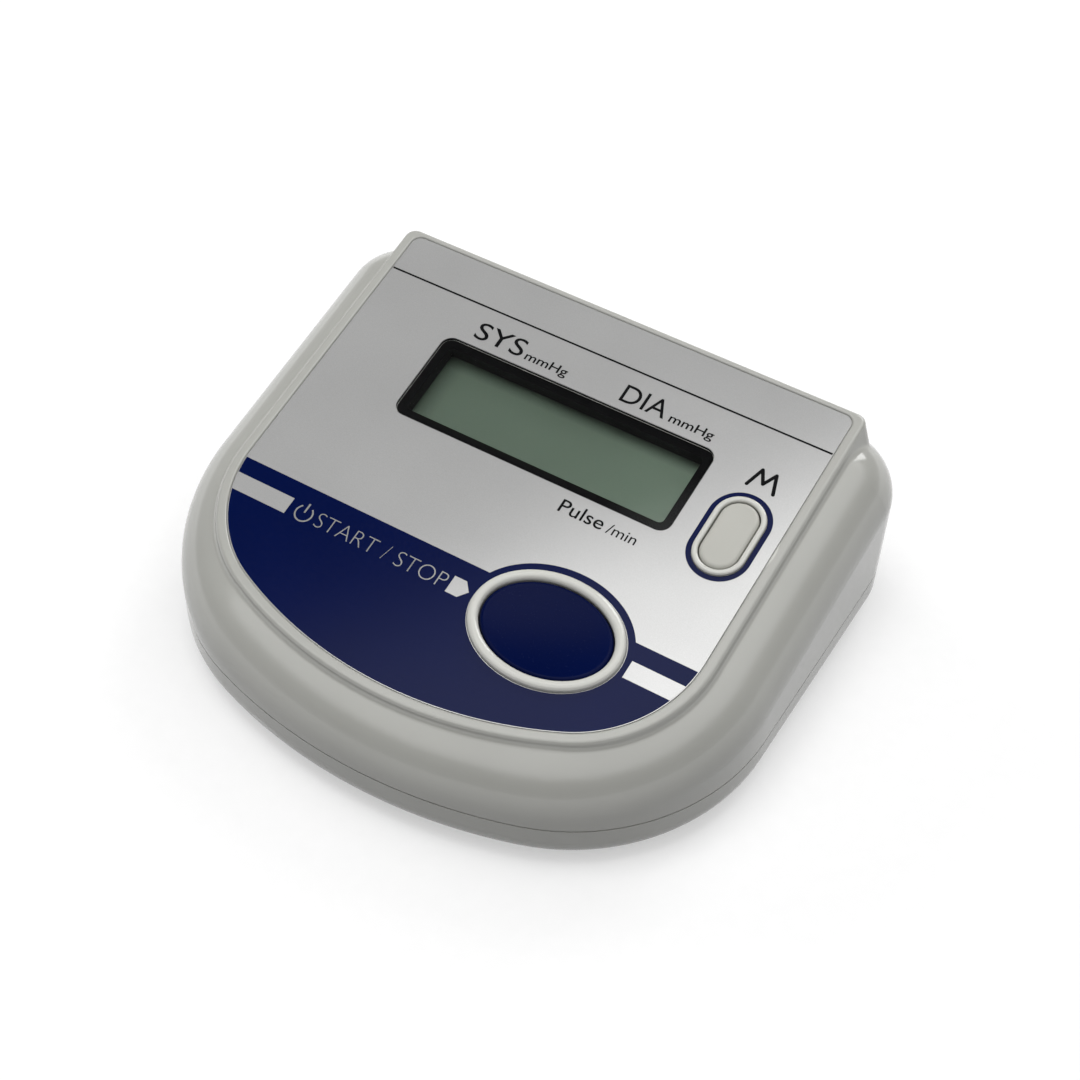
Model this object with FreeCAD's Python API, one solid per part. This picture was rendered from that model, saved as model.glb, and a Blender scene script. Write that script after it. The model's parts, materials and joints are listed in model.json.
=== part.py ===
"""Upper-arm blood pressure monitor, in millimetres.

The case is D-shaped in plan, flat at the rear and round at the front. Its front panel is a raised
plateau that slopes down to the front. +Z is up, the front faces -Y, and the origin is on the
surface that the feet stand on, under the middle of the case.
"""
import FreeCAD
import Part
import math
import os
from FreeCAD import Placement, Rotation, Vector

# Case outline in plan
case_width = 113.8
case_depth = 97.0
front_corner_radius = 39.0
front_arc_radius = 95.0
rear_corner_margin = 0.6
wall = 2.0
foot_height = 1.0
base_radius = 5.3
parting_share = 0.244
seam_gap = 0.3
lip_height = 1.6
lip_clearance = 0.1
touch_tolerance = 1e-3

# Sloping panel: its plane is the crest of the rim around the label
panel_tilt = 12.4
panel_rear_height = 41.0
plateau_setback = 4.4
shoulder_drop = 1.5
shoulder_seam_margin = 0.58
shoulder_side_reach = 0.1
rim_width = 2.0
rim_rear_width = 1.5
rim_corner_radius = 2.2
rim_round = 0.8
rim_inner_round = 0.4
plateau_draft = 0.3
plateau_rear_lean = 0.17
plateau_share = 0.39
valley_share = 0.109

# Printed front label
label_side_margin = 10.9
label_front_margin = 9.34
label_front_radius = 78.0
label_corner_radius = 24.0
label_rear_radius = 1.8
label_thickness = 0.35
label_sink = 0.2
label_clearance = 0.12

# Display, measured on the panel from the rear edge of the label
display_share = 0.32
window_memory_gap = 9.825
window_height = 18.8
window_radius = 2.2
window_thickness = 1.0
window_ledge = 0.7
frame_clearance = 0.15
frame_wall = 0.8
frame_flange = 2.3
glass_depth = 4.0
glass_side_margin = 0.325
glass_end_margin = 0.6
glass_thickness = 1.0
glass_ledge = 3.0
backing_thickness = 0.8
pad_margin = 1.0
strip_width = 2.2

# Main board under the panel
board_thickness = 1.6
board_rear_margin = 12.3
board_front_margin = 5.6
board_wing_front_margin = 14.4
board_wing_margin = 6.0
board_left_share = 0.326
board_right_margin = 14.2
board_corner_radius = 1.5
post_radius = 2.3
post_margin = 2.7
post_start_gap = 17.8
board_screw_radius = 0.9
board_screw_head_radius = 1.9
board_screw_head_height = 1.4
board_screw_reach = 3.2
board_hole_extra = 0.5
thread_clearance = 0.05

# Buttons
button_travel = 0.5
button_clearance = 0.2
flange_gap = 0.15
flange_thickness = 1.0
flange_overlap = 1.3
start_side_margin = 26.2
start_front_margin = 21.65
start_hole_width = 24.6
start_hole_height = 17.6
start_ring_width = 1.95
start_ring_height = 0.95
start_cap_rise = 0.25
start_dish = 0.55
start_edge_round = 0.7
memory_side_margin = 8.0
memory_drop = 4.8
memory_hole_width = 7.5
memory_hole_height = 14.4
memory_ring_width = 1.05
memory_ring_height = 0.55
memory_cap_rise = 0.5
memory_edge_round = 0.8
stem_radius = 2.4
ring_round_share = 0.45

# Push switches on the board
switch_size = 6.0
switch_height = 1.6
switch_corner_radius = 0.6
plunger_radius = 1.6
plunger_clearance = 0.15
plunger_rise = 0.9
plunger_depth = 0.5
plunger_bottom_gap = 0.2

# Parts under the board
chip_size = 12.0
chip_thickness = 1.6
chip_chamfer = 0.3
package_corner_radius = 0.5
chip_x = -4.0
component_rise = 2.8
buzzer_radius = 6.0
buzzer_height = 4.4
sound_hole_radius = 1.2
sound_hole_depth = 1.5
buzzer_x = 12.0
sensor_size = 8.0
sensor_height_share = 0.28
sensor_front_margin = 5.5
port_radius = 1.4
port_share = 0.26
port_bore_radius = 0.7

# Battery bay with four AA cells side by side
cell_count = 4
cell_width_share = 0.0637
cell_length_share = 0.5206
cell_rim = 0.5
nub_share = 0.38
nub_height = 1.3
cell_gap = 0.4
bay_side_gap = 0.3
bay_top_gap = 0.3
bay_wall = 1.6
bay_roof = 1.2
bay_rear_margin = 6.1
bay_board_gap = 0.58
divider_width = 1.0
divider_share = 0.55
contact_thickness = 0.4
contact_height_share = 1.05
contact_width_share = 1.1
spring_length = 5.6
spring_wire = 0.6
spring_wide_share = 0.5
spring_narrow_share = 0.33
spring_half_turns = 7
spring_gap_samples = 12

# Battery cover
cover_thickness = 1.6
cover_clearance = 0.3
cover_ledge = 0.9
cover_hinge_round = 0.6
cover_corner_radius = 1.5
cover_tab_share = 0.36
cover_tab_length = 2.1
cover_tab_thickness = 1.2
cover_tab_gap = 0.1
cover_tab_root = 1.3
latch_width = 13.0
latch_length = 10.0
latch_slot = 0.9
latch_upstand_share = 0.41
latch_upstand_thickness = 1.2
latch_gap = 0.35
grip_count = 4
grip_pitch = 1.8
grip_radius = 0.45
scoop_radius = 8.0
scoop_depth = 1.2

# Case screws and feet
boss_radius = 3.3
boss_rise = 2.5
boss_rear_inset_x = 9.4
boss_rear_inset_y = 10.0
boss_front_inset = 9.5
boss_tube_gap = 0.8
screw_radius = 1.4
screw_clearance = 0.2
screw_head_radius = 2.5
screw_head_height = 1.8
screw_head_round_share = 0.30
drive_arm_share = 0.62
drive_slot_share = 0.15
drive_depth_share = 0.60
screw_seat_depth = 3.2
screw_reach_share = 0.64
screw_hole_extra = 1.0
foot_radius = 4.0
foot_recess = 0.8
foot_round = 0.35
foot_clearance = 0.1
foot_bay_gap = 7.7
foot_rear_inset = 12.5
foot_boss_gap = 12.9
foot_front_inset_y = 19.0

# Air pump beside the battery bay
pump_gap = 1.9
motor_rear_inset = 14.5
motor_boss_radius = 3.0
motor_boss_height = 1.0
sleeve_thickness = 1.2
sleeve_inset = 3.0
sleeve_front_inset = 5.0
pump_floor_gap = 0.5
pump_head_step = 0.3
pump_head_length = 13.0
pump_head_round = 1.0
cradle_rib_width = 2.0
cradle_rib_inset = 2.0
cradle_clearance = 0.05

# Air circuit
nozzle_radius = 1.4
nozzle_length = 4.0
nozzle_bore_radius = 0.7
tube_radius = 2.3
tube_bore_radius = 1.5
tube_end_gap = 0.3
tube_bay_gap = 2.0
tube_lead = 14.0
tube_bend = 8.0
socket_bend_share = 0.4
manifold_bay_gap = 1.7
manifold_depth = 10.0
manifold_height_share = 0.17
manifold_round = 0.8
manifold_pump_inset = 2.8
manifold_socket_inset = 7.5
manifold_valve_inset = 3.5
valve_side_share = 0.36
valve_height_share = 0.244
valve_tube_gap = 0.5
valve_front_margin = 0.5
valve_gap = 2.0
valve_plug_depth = 3.0
valve_plug_clearance = 0.15
valve_plug_end_gap = 1.0
valve_coil_share = 0.39
valve_coil_gap = 0.4
valve_frame = 1.2
sensor_bend_share = 0.33
sensor_tube_bend = 6.0
socket_run = 9.0
socket_rise = 6.0
socket_lead = 6.7
socket_radius = 4.0
socket_flange_radius = 5.6
socket_flange = 1.5
socket_recess = 0.2
socket_bore_radius = 2.15
socket_bore_depth = 9.0
socket_core_wall = 1.0
socket_spigot_length = 2.4
socket_clearance = 0.1

# Values that follow from the driving sizes: case and panel
half_width = case_width / 2
rear_y = case_depth / 2
front_y = -case_depth / 2
tilt = math.radians(panel_tilt)
floor_top = foot_height + wall
parting_height = parting_share * panel_rear_height
plateau_depth = plateau_share * panel_rear_height
label_width = case_width - 2 * label_side_margin
label_length = (case_depth - plateau_setback - label_front_margin) / math.cos(tilt) - rim_rear_width
label_rear_y = rear_y - plateau_setback - rim_rear_width * math.cos(tilt)
panel_place = Placement(Vector(0, label_rear_y, panel_rear_height), Rotation(Vector(1, 0, 0), panel_tilt))
panel_floor = label_sink + label_thickness
ceiling = panel_floor + wall


def under_panel(y, depth):
    """Height of the point that lies at y in plan and at a depth square to the panel."""
    return panel_rear_height - (label_rear_y - y) * math.tan(tilt) - depth / math.cos(tilt)


# The shoulder ends above the seam at the front, and under the label's edge at the sides
shoulder_room = under_panel(front_y, shoulder_drop) - parting_height - shoulder_seam_margin
shoulder_limit = label_side_margin + shoulder_side_reach
shoulder_radius = min(shoulder_room / math.tan(math.pi / 4 - tilt / 2), shoulder_limit)
valley_round = valley_share * shoulder_radius
rear_corner_radius = shoulder_radius + rear_corner_margin

# Places on the panel
memory_x = label_width / 2 - memory_side_margin
display_centre_y = -display_share * label_length
window_width = 2 * (memory_x - window_memory_gap)
glass_width = window_width + 2 * glass_side_margin
glass_height = window_height + 2 * glass_end_margin
start_x = label_width / 2 - start_side_margin
start_y = start_front_margin - label_length
memory_y = display_centre_y - memory_drop

# Main board
board_top = glass_depth + 2 * glass_thickness + backing_thickness
board_under = board_top + board_thickness
board_rear_y = display_centre_y + board_rear_margin
board_front_y = start_y - board_front_margin
board_wing_front_y = memory_y - board_wing_front_margin
board_wing_x = memory_x + board_wing_margin
board_left_x = -board_left_share * label_width
board_right_x = start_x + board_right_margin
board_post_places = (
    (board_left_x + post_margin, board_wing_front_y + post_margin),
    (board_wing_x - post_margin, board_rear_y - post_margin),
    (board_left_x + post_margin, board_front_y + post_margin),
    (start_x - post_start_gap, board_front_y + post_margin),
)
chip_place = (chip_x, display_centre_y + component_rise)
buzzer_place = (buzzer_x, display_centre_y + component_rise)
sensor_place = (sensor_size / 2 - board_wing_x, board_wing_front_y + sensor_front_margin)

# Battery bay: the cells fill the width that the case gives them, or the height under the board
cell_length = cell_length_share * case_depth
bay_rear_y = rear_y - bay_rear_margin
bay_front_y = bay_rear_y - cell_length - spring_length - 2 * contact_thickness
cell_bottom = foot_height + cover_thickness + bay_top_gap
cell_top_limit = under_panel(bay_front_y - bay_wall, board_under) - bay_board_gap - bay_roof - bay_top_gap
cell_radius = min(cell_width_share * case_width, (cell_top_limit - cell_bottom) / 2)
nub_radius = nub_share * cell_radius
cell_pitch = 2 * cell_radius + cell_gap
bay_half_width = cell_count * cell_pitch / 2 + bay_side_gap
bay_outer_x = bay_half_width + bay_wall
cell_axis_z = cell_bottom + cell_radius
bay_ceiling = cell_axis_z + cell_radius + bay_top_gap
cell_xs = [(i - (cell_count - 1) / 2) * cell_pitch for i in range(cell_count)]
divider_height = divider_share * cell_radius
contact_height = contact_height_share * cell_radius
contact_width = contact_width_share * cell_radius
spring_wide_radius = spring_wide_share * cell_radius
spring_narrow_radius = spring_narrow_share * cell_radius
cover_tab_width = cover_tab_share * cell_radius
latch_upstand = latch_upstand_share * cell_radius

# Pump: as large as the room beside the bay and under the board lets it be
tube_run_y = bay_front_y - bay_wall - tube_bay_gap - tube_radius
pump_head_front_y = tube_run_y + tube_lead
motor_front_y = pump_head_front_y + pump_head_length
motor_rear_y = rear_y - motor_rear_inset
side_room = half_width - wall - bay_outer_x
pump_headroom = under_panel(motor_front_y, board_under) - floor_top - pump_floor_gap
pump_radius = min(side_room - 2 * pump_gap, pump_headroom - pump_gap) / 2
motor_radius = pump_radius - sleeve_thickness
pump_head_radius = motor_radius + pump_head_step
pump_x = bay_outer_x + side_room / 2
pump_z = floor_top + pump_floor_gap + pump_radius
sleeve_rear_y = motor_rear_y - sleeve_inset
sleeve_front_y = motor_front_y + sleeve_front_inset

# Air circuit: the manifold stands under the pressure sensor
manifold_height = manifold_height_share * panel_rear_height
manifold_top = floor_top + manifold_height
air_z = floor_top + manifold_height / 2
sensor_root = panel_place.multVec(Vector(sensor_place[0], sensor_place[1], -board_under))
air_room = sensor_root.z - manifold_top
sensor_height = sensor_height_share * air_room
port_length = port_share * air_room
sensor_bend_z = manifold_top + sensor_bend_share * air_room
sensor_bend_y = sensor_root.y + (sensor_root.z - sensor_bend_z) * math.tan(tilt)
sensor_bend = Vector(sensor_root.x, sensor_bend_y, sensor_bend_z)
manifold_y0 = sensor_bend.y - manifold_depth / 2
manifold_y1 = sensor_bend.y + manifold_depth / 2
manifold_x1 = -bay_outer_x - manifold_bay_gap
manifold_pump_x = manifold_x1 - manifold_pump_inset
valve_size = min(valve_side_share * side_room, valve_height_share * panel_rear_height)
valve_coil_radius = valve_coil_share * valve_size
valve_x = manifold_pump_x - tube_radius - valve_tube_gap - valve_size / 2
socket_core_x = -half_width + socket_recess + socket_bore_depth + socket_core_wall
socket_y = manifold_y1 + socket_run
socket_height = parting_height + socket_rise
socket_tube_bend = socket_bend_share * (socket_height - air_z)
manifold_socket_x = socket_core_x + socket_lead
manifold_x0 = min(valve_x - manifold_valve_inset, manifold_socket_x - manifold_socket_inset)
valve_rear_y = manifold_y0 - valve_gap
valve_front_y = bay_front_y - valve_front_margin

# Case screws and feet
boss_split_height = parting_height + boss_rise
boss_front_y = tube_run_y - tube_radius - boss_tube_gap - boss_radius
corner_x = half_width - front_corner_radius
corner_arm = front_arc_radius - front_corner_radius
corner_y = front_y + front_arc_radius - math.sqrt(corner_arm ** 2 - corner_x ** 2)
boss_corner_reach = front_corner_radius - boss_front_inset
boss_front_x = corner_x + math.sqrt(boss_corner_reach ** 2 - (boss_front_y - corner_y) ** 2)
boss_places = [(side * x, y) for side in (1, -1)
               for x, y in ((half_width - boss_rear_inset_x, rear_y - boss_rear_inset_y),
                            (boss_front_x, boss_front_y))]
screw_reach = screw_reach_share * (under_panel(boss_front_y, ceiling) - boss_split_height)
foot_places = [(side * x, y) for side in (1, -1)
               for x, y in ((bay_half_width + foot_bay_gap, rear_y - foot_rear_inset),
                            (boss_front_x - foot_boss_gap, front_y + foot_front_inset_y))]


def arc_about(centre, radius, start, end):
    """Circular arc of less than half a turn from start to end about a centre."""
    middle = (start + end) * 0.5 - centre
    middle.normalize()
    return Part.Arc(start, centre + middle * radius, end).toShape()


def line(start, end):
    return Part.LineSegment(start, end).toShape()


def mirrored(point):
    return Vector(-point.x, point.y, point.z)


def d_outline(half, rear, front, rear_radius, corner_radius, arc_radius, z):
    """Closed D: straight rear and sides, two corner arcs and one wide front arc, all tangent."""
    corner_x = half - corner_radius
    arc_y = front + arc_radius
    corner_y = arc_y - math.sqrt((arc_radius - corner_radius) ** 2 - corner_x ** 2)
    corner = Vector(corner_x, corner_y, z)
    arc_centre = Vector(0, arc_y, z)
    outward = corner - arc_centre
    outward.normalize()
    joint = corner + outward * corner_radius
    rear_corner = Vector(half - rear_radius, rear - rear_radius, z)
    rear_end = Vector(half - rear_radius, rear, z)
    side_top = Vector(half, rear - rear_radius, z)
    side_end = Vector(half, corner_y, z)
    edges = [
        line(mirrored(rear_end), rear_end),
        arc_about(rear_corner, rear_radius, rear_end, side_top),
        line(side_top, side_end),
        arc_about(corner, corner_radius, side_end, joint),
        Part.Arc(joint, Vector(0, front, z), mirrored(joint)).toShape(),
        arc_about(mirrored(corner), corner_radius, mirrored(joint), mirrored(side_end)),
        line(mirrored(side_end), mirrored(side_top)),
        arc_about(mirrored(rear_corner), rear_radius, mirrored(side_top), mirrored(rear_end)),
    ]
    return Part.Wire(edges)


def case_outline(inset, z):
    return d_outline(half_width - inset, rear_y - inset, front_y + inset, rear_corner_radius - inset,
                     front_corner_radius - inset, front_arc_radius - inset, z)


def label_outline(offset, z):
    return d_outline(label_width / 2 + offset, offset, -(label_length + offset), label_rear_radius + offset,
                     label_corner_radius + offset, label_front_radius + offset, z)


def plateau_outline(offset, rear_offset, z):
    return d_outline(label_width / 2 + offset, rear_offset, -(label_length + offset), rim_corner_radius,
                     label_corner_radius + offset, label_front_radius + offset, z)


def rounded_rectangle(x0, x1, y0, y1, radius, z):
    corners = [(x1 - radius, y1 - radius, 0), (x0 + radius, y1 - radius, 90),
               (x0 + radius, y0 + radius, 180), (x1 - radius, y0 + radius, 270)]
    points = []
    for x, y, turn in corners:
        for angle in (turn, turn + 45, turn + 90):
            a = math.radians(angle)
            points.append(Vector(x + radius * math.cos(a), y + radius * math.sin(a), z))
    edges = []
    for i in range(4):
        first, middle, last = points[3 * i:3 * i + 3]
        edges.append(Part.Arc(first, middle, last).toShape())
        edges.append(line(last, points[(3 * i + 3) % 12]))
    return Part.Wire(edges)


def stadium(x, y, width, height, z):
    """Upright slot outline with round ends."""
    radius = width / 2
    run = height / 2 - radius
    a, b = Vector(x + radius, y + run, z), Vector(x - radius, y + run, z)
    c, d = Vector(x - radius, y - run, z), Vector(x + radius, y - run, z)
    edges = [Part.Arc(a, Vector(x, y + height / 2, z), b).toShape(), line(b, c),
             Part.Arc(c, Vector(x, y - height / 2, z), d).toShape(), line(d, a)]
    return Part.Wire(edges)


def oval(x, y, width, height, z):
    ellipse = Part.Ellipse(Vector(x, y, z), width / 2, height / 2)
    return Part.Wire([ellipse.toShape()])


def prism(outline, height):
    return Part.Face(outline).extrude(Vector(0, 0, height))


def box(x0, x1, y0, y1, z0, z1):
    return Part.makeBox(x1 - x0, y1 - y0, z1 - z0, Vector(x0, y0, z0))


def rod(radius, start, end):
    axis = end - start
    return Part.makeCylinder(radius, axis.Length, start, axis)


def on_panel(shape):
    """Copy of a shape drawn in panel coordinates, laid on the sloping panel."""
    placed = shape.copy()
    placed.Placement = panel_place.multiply(placed.Placement)
    return placed


def panel_point(x, y, depth):
    return panel_place.multVec(Vector(x, y, -depth))


def edge_middle(edge):
    return edge.valueAt((edge.FirstParameter + edge.LastParameter) / 2)


def edges_at_height(shape, z):
    return [e for e in shape.Edges
            if abs(e.BoundBox.ZMin - z) < touch_tolerance and abs(e.BoundBox.ZMax - z) < touch_tolerance]


def edges_on_panel_plane(shape):
    inverse = panel_place.inverse()
    found = []
    for edge in shape.Edges:
        points = [v.Point for v in edge.Vertexes] + [edge_middle(edge)]
        if all(abs(inverse.multVec(p).z) < touch_tolerance for p in points):
            found.append(edge)
    return found


def edges_between(shape, first, second):
    """Edges of a union that lie on the skins of both solids it was made from."""
    found = []
    for edge in shape.Edges:
        probe = Part.Vertex(edge_middle(edge))
        distances = [min(f.distToShape(probe)[0] for f in solid.Faces) for solid in (first, second)]
        if max(distances) < touch_tolerance:
            found.append(edge)
    return found


def routed(points, radius, bend):
    """Round rod along straight runs joined by tangent arcs of one bend radius."""
    edges = []
    start = points[0]
    for before, corner, after in zip(points, points[1:], points[2:]):
        back = before - corner
        ahead = after - corner
        back.normalize()
        ahead.normalize()
        half_angle = back.getAngle(ahead) / 2
        reach = bend / math.tan(half_angle)
        bisector = back + ahead
        bisector.normalize()
        centre = corner + bisector * (bend / math.sin(half_angle))
        entry = corner + back * reach
        leave = corner + ahead * reach
        edges.append(line(start, entry))
        edges.append(Part.Arc(entry, centre - bisector * bend, leave).toShape())
        start = leave
    edges.append(line(start, points[-1]))
    path = Part.Wire(edges)
    section = Part.Wire([Part.Circle(points[0], points[1] - points[0], radius).toShape()])
    return path.makePipeShell([section], True, False)


def air_tube(points, bend):
    return routed(points, tube_radius, bend).cut(routed(points, tube_bore_radius, bend))


def pillow(inset):
    """Body of the case without its plateau: the D drawn up, cut along the slope, with a soft shoulder."""
    body = prism(case_outline(inset, foot_height), 2 * panel_rear_height)
    reach = case_width + case_depth
    above = on_panel(box(-reach, reach, -reach, reach, -(shoulder_drop + inset), reach))
    body = body.cut(above)
    top = max(body.Faces, key=lambda face: face.BoundBox.ZMax + face.BoundBox.ZMin)
    return body.makeFillet(shoulder_radius - inset, top.Edges)


def make_upper_case():
    body = pillow(0)
    crest = plateau_outline(rim_width, rim_rear_width, 0)
    foot = plateau_outline(rim_width + plateau_draft * plateau_depth,
                           rim_rear_width - plateau_rear_lean * plateau_depth, -plateau_depth)
    plateau = on_panel(Part.makeLoft([crest, foot], True, True))
    shell = body.fuse(plateau).removeSplitter()
    shell = shell.makeFillet(valley_round, edges_between(shell, body, plateau))
    shell = shell.makeFillet(rim_round, edges_on_panel_plane(shell))
    shell = shell.cut(on_panel(prism(label_outline(label_clearance, -panel_floor), ceiling)))
    label_edge = on_panel(label_outline(label_clearance, 0))
    inner_rim = [e for e in edges_on_panel_plane(shell) if e.distToShape(label_edge)[0] < touch_tolerance]
    shell = shell.makeFillet(rim_inner_round, inner_rim)

    start_ring = prism(oval(start_x, start_y, start_hole_width + 2 * start_ring_width,
                            start_hole_height + 2 * start_ring_width, -ceiling), ceiling + start_ring_height)
    start_hole = prism(oval(start_x, start_y, start_hole_width, start_hole_height, -2 * ceiling), 4 * ceiling)
    start_ring = start_ring.cut(start_hole)
    start_ring = start_ring.makeFillet(start_ring_width * ring_round_share,
                                       edges_at_height(start_ring, start_ring_height))
    memory_ring = prism(stadium(memory_x, memory_y, memory_hole_width + 2 * memory_ring_width,
                                memory_hole_height + 2 * memory_ring_width, -ceiling),
                        ceiling + memory_ring_height)
    memory_hole = prism(stadium(memory_x, memory_y, memory_hole_width, memory_hole_height, -2 * ceiling),
                        4 * ceiling)
    memory_ring = memory_ring.cut(memory_hole)
    memory_ring = memory_ring.makeFillet(memory_ring_width * ring_round_share,
                                         edges_at_height(memory_ring, memory_ring_height))

    cavity = pillow(wall)
    under_label = on_panel(prism(label_outline(0, -plateau_depth), plateau_depth - ceiling))
    cavity = cavity.fuse(under_label.common(prism(case_outline(wall, foot_height), 2 * panel_rear_height)))
    for x, y in boss_places:
        boss = rod(boss_radius, Vector(x, y, boss_split_height), Vector(x, y, panel_rear_height))
        cavity = cavity.cut(boss)
    for x, y in board_post_places:
        cavity = cavity.cut(rod(post_radius, panel_point(x, y, board_top), panel_point(x, y, 0)))
    shell = shell.cut(cavity)
    shell = shell.fuse([on_panel(start_ring), on_panel(memory_ring)])

    window = on_panel(prism(display_outline(label_clearance, -(label_sink + window_thickness)), ceiling))
    opening = on_panel(prism(display_outline(-window_ledge, -2 * ceiling), 3 * ceiling))
    cuts = [window, opening, on_panel(start_hole), on_panel(memory_hole)]
    for x, y in boss_places:
        hole_radius = screw_radius + thread_clearance
        hole_top = Vector(x, y, boss_split_height + screw_reach + screw_hole_extra)
        cuts.append(rod(hole_radius, Vector(x, y, 0), hole_top))
    for x, y in board_post_places:
        hole_radius = board_screw_radius + thread_clearance
        hole_end = board_top - board_screw_reach - board_hole_extra
        cuts.append(rod(hole_radius, panel_point(x, y, board_under), panel_point(x, y, hole_end)))
    cuts.append(rod(socket_radius + socket_clearance, Vector(-half_width - wall, socket_y, socket_height),
                    Vector(-half_width + 2 * wall, socket_y, socket_height)))
    seam_top = parting_height + seam_gap / 2
    cuts.append(box(-case_width, case_width, -case_depth, case_depth, -wall, seam_top))
    rabbet = prism(case_outline(wall / 2, seam_top), lip_height + lip_clearance)
    cuts.append(rabbet.cut(prism(case_outline(1.5 * wall, seam_top), lip_height + lip_clearance)))
    return shell.cut(cuts)


def display_outline(offset, z):
    half = window_width / 2 + offset
    rise = window_height / 2 + offset
    return rounded_rectangle(-half, half, display_centre_y - rise, display_centre_y + rise,
                             window_radius + offset, z)


def make_front_label():
    sheet = prism(label_outline(0, -panel_floor), label_thickness)
    gap = label_clearance
    openings = [
        prism(display_outline(gap, -ceiling), 2 * ceiling),
        prism(oval(start_x, start_y, start_hole_width + 2 * (start_ring_width + gap),
                   start_hole_height + 2 * (start_ring_width + gap), -ceiling), 2 * ceiling),
        prism(stadium(memory_x, memory_y, memory_hole_width + 2 * (memory_ring_width + gap),
                      memory_hole_height + 2 * (memory_ring_width + gap), -ceiling), 2 * ceiling),
    ]
    return on_panel(sheet.cut(openings))


def make_display_window():
    pane = prism(display_outline(0, -(label_sink + window_thickness)), window_thickness)
    return on_panel(pane)


def make_display_frame():
    """Dark collar from the window down to the glass, with a skirt that holds the glass on the board."""
    collar_top = label_sink + window_thickness
    outer_half = glass_width / 2 + frame_flange
    outer_rise = glass_height / 2 + frame_flange
    collar = prism(display_outline(-window_ledge - frame_clearance, -glass_depth), glass_depth - collar_top)
    skirt_outline = rounded_rectangle(-outer_half, outer_half, display_centre_y - outer_rise,
                                      display_centre_y + outer_rise, window_radius, -board_top)
    skirt = prism(skirt_outline, board_top - ceiling)
    pocket_half = glass_width / 2 + frame_clearance
    pocket_rise = glass_height / 2 + frame_clearance
    pocket = box(-pocket_half, pocket_half, display_centre_y - pocket_rise, display_centre_y + pocket_rise,
                 -board_top, -glass_depth)
    sight = prism(display_outline(-window_ledge - frame_clearance - frame_wall, -board_top), board_top)
    return on_panel(collar.fuse(skirt).cut([pocket, sight]))


def display_block(y0, y1, half, depth, thickness):
    """Flat block behind the window, between two heights of the display."""
    block = box(-half, half, display_centre_y + y0, display_centre_y + y1, -depth - thickness, -depth)
    return on_panel(block)


def make_display_glass():
    half = glass_width / 2
    rise = glass_height / 2
    rear_glass_y0 = -rise + glass_ledge
    under_front = glass_depth + glass_thickness
    under_rear = under_front + glass_thickness
    strip_y = -rise + glass_ledge / 2
    return {
        "lcd_front_glass": display_block(-rise, rise, half, glass_depth, glass_thickness),
        "lcd_rear_glass": display_block(rear_glass_y0, rise, half, under_front, glass_thickness),
        "lcd_backing_pad": display_block(rear_glass_y0 + pad_margin, rise - pad_margin, half - pad_margin,
                                         under_rear, backing_thickness),
        "lcd_connector_strip": display_block(strip_y - strip_width / 2, strip_y + strip_width / 2,
                                             half - pad_margin, under_front, board_top - under_front),
    }


def make_main_board():
    rear_part = prism(rounded_rectangle(-board_wing_x, board_wing_x, board_wing_front_y, board_rear_y,
                                        board_corner_radius, -board_under), board_thickness)
    front_part = prism(rounded_rectangle(board_left_x, board_right_x, board_front_y,
                                         board_rear_y - board_corner_radius, board_corner_radius,
                                         -board_under), board_thickness)
    board = rear_part.fuse(front_part).removeSplitter()
    holes = []
    for x, y in board_post_places:
        holes.append(Part.makeCylinder(board_screw_radius + screw_clearance, 3 * board_thickness,
                                       Vector(x, y, -board_under - board_thickness)))
    return on_panel(board.cut(holes))


def make_screw(radius, head_radius, head_height, length):
    """Screw that stands on its head at z 0: a round-edged head with crossed driver slots, and a plain shank."""
    head = rod(head_radius, Vector(0, 0, 0), Vector(0, 0, head_height))
    head = head.makeFillet(screw_head_round_share * head_height, edges_at_height(head, 0))
    shank = rod(radius, Vector(0, 0, head_height / 2), Vector(0, 0, length))
    arm = drive_arm_share * head_radius
    slot = drive_slot_share * head_radius
    depth = drive_depth_share * head_height
    drive = box(-arm, arm, -slot, slot, -depth, depth).fuse(box(-slot, slot, -arm, arm, -depth, depth))
    return head.fuse(shank).removeSplitter().cut(drive.removeSplitter())


def make_board_screws():
    screws = []
    foot = board_under + board_screw_head_height
    for x, y in board_post_places:
        screw = make_screw(board_screw_radius, board_screw_head_radius, board_screw_head_height,
                           foot - board_top + board_screw_reach)
        screw.translate(Vector(x, y, -foot))
        screws.append(on_panel(screw))
    return Part.makeCompound(screws)


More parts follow.
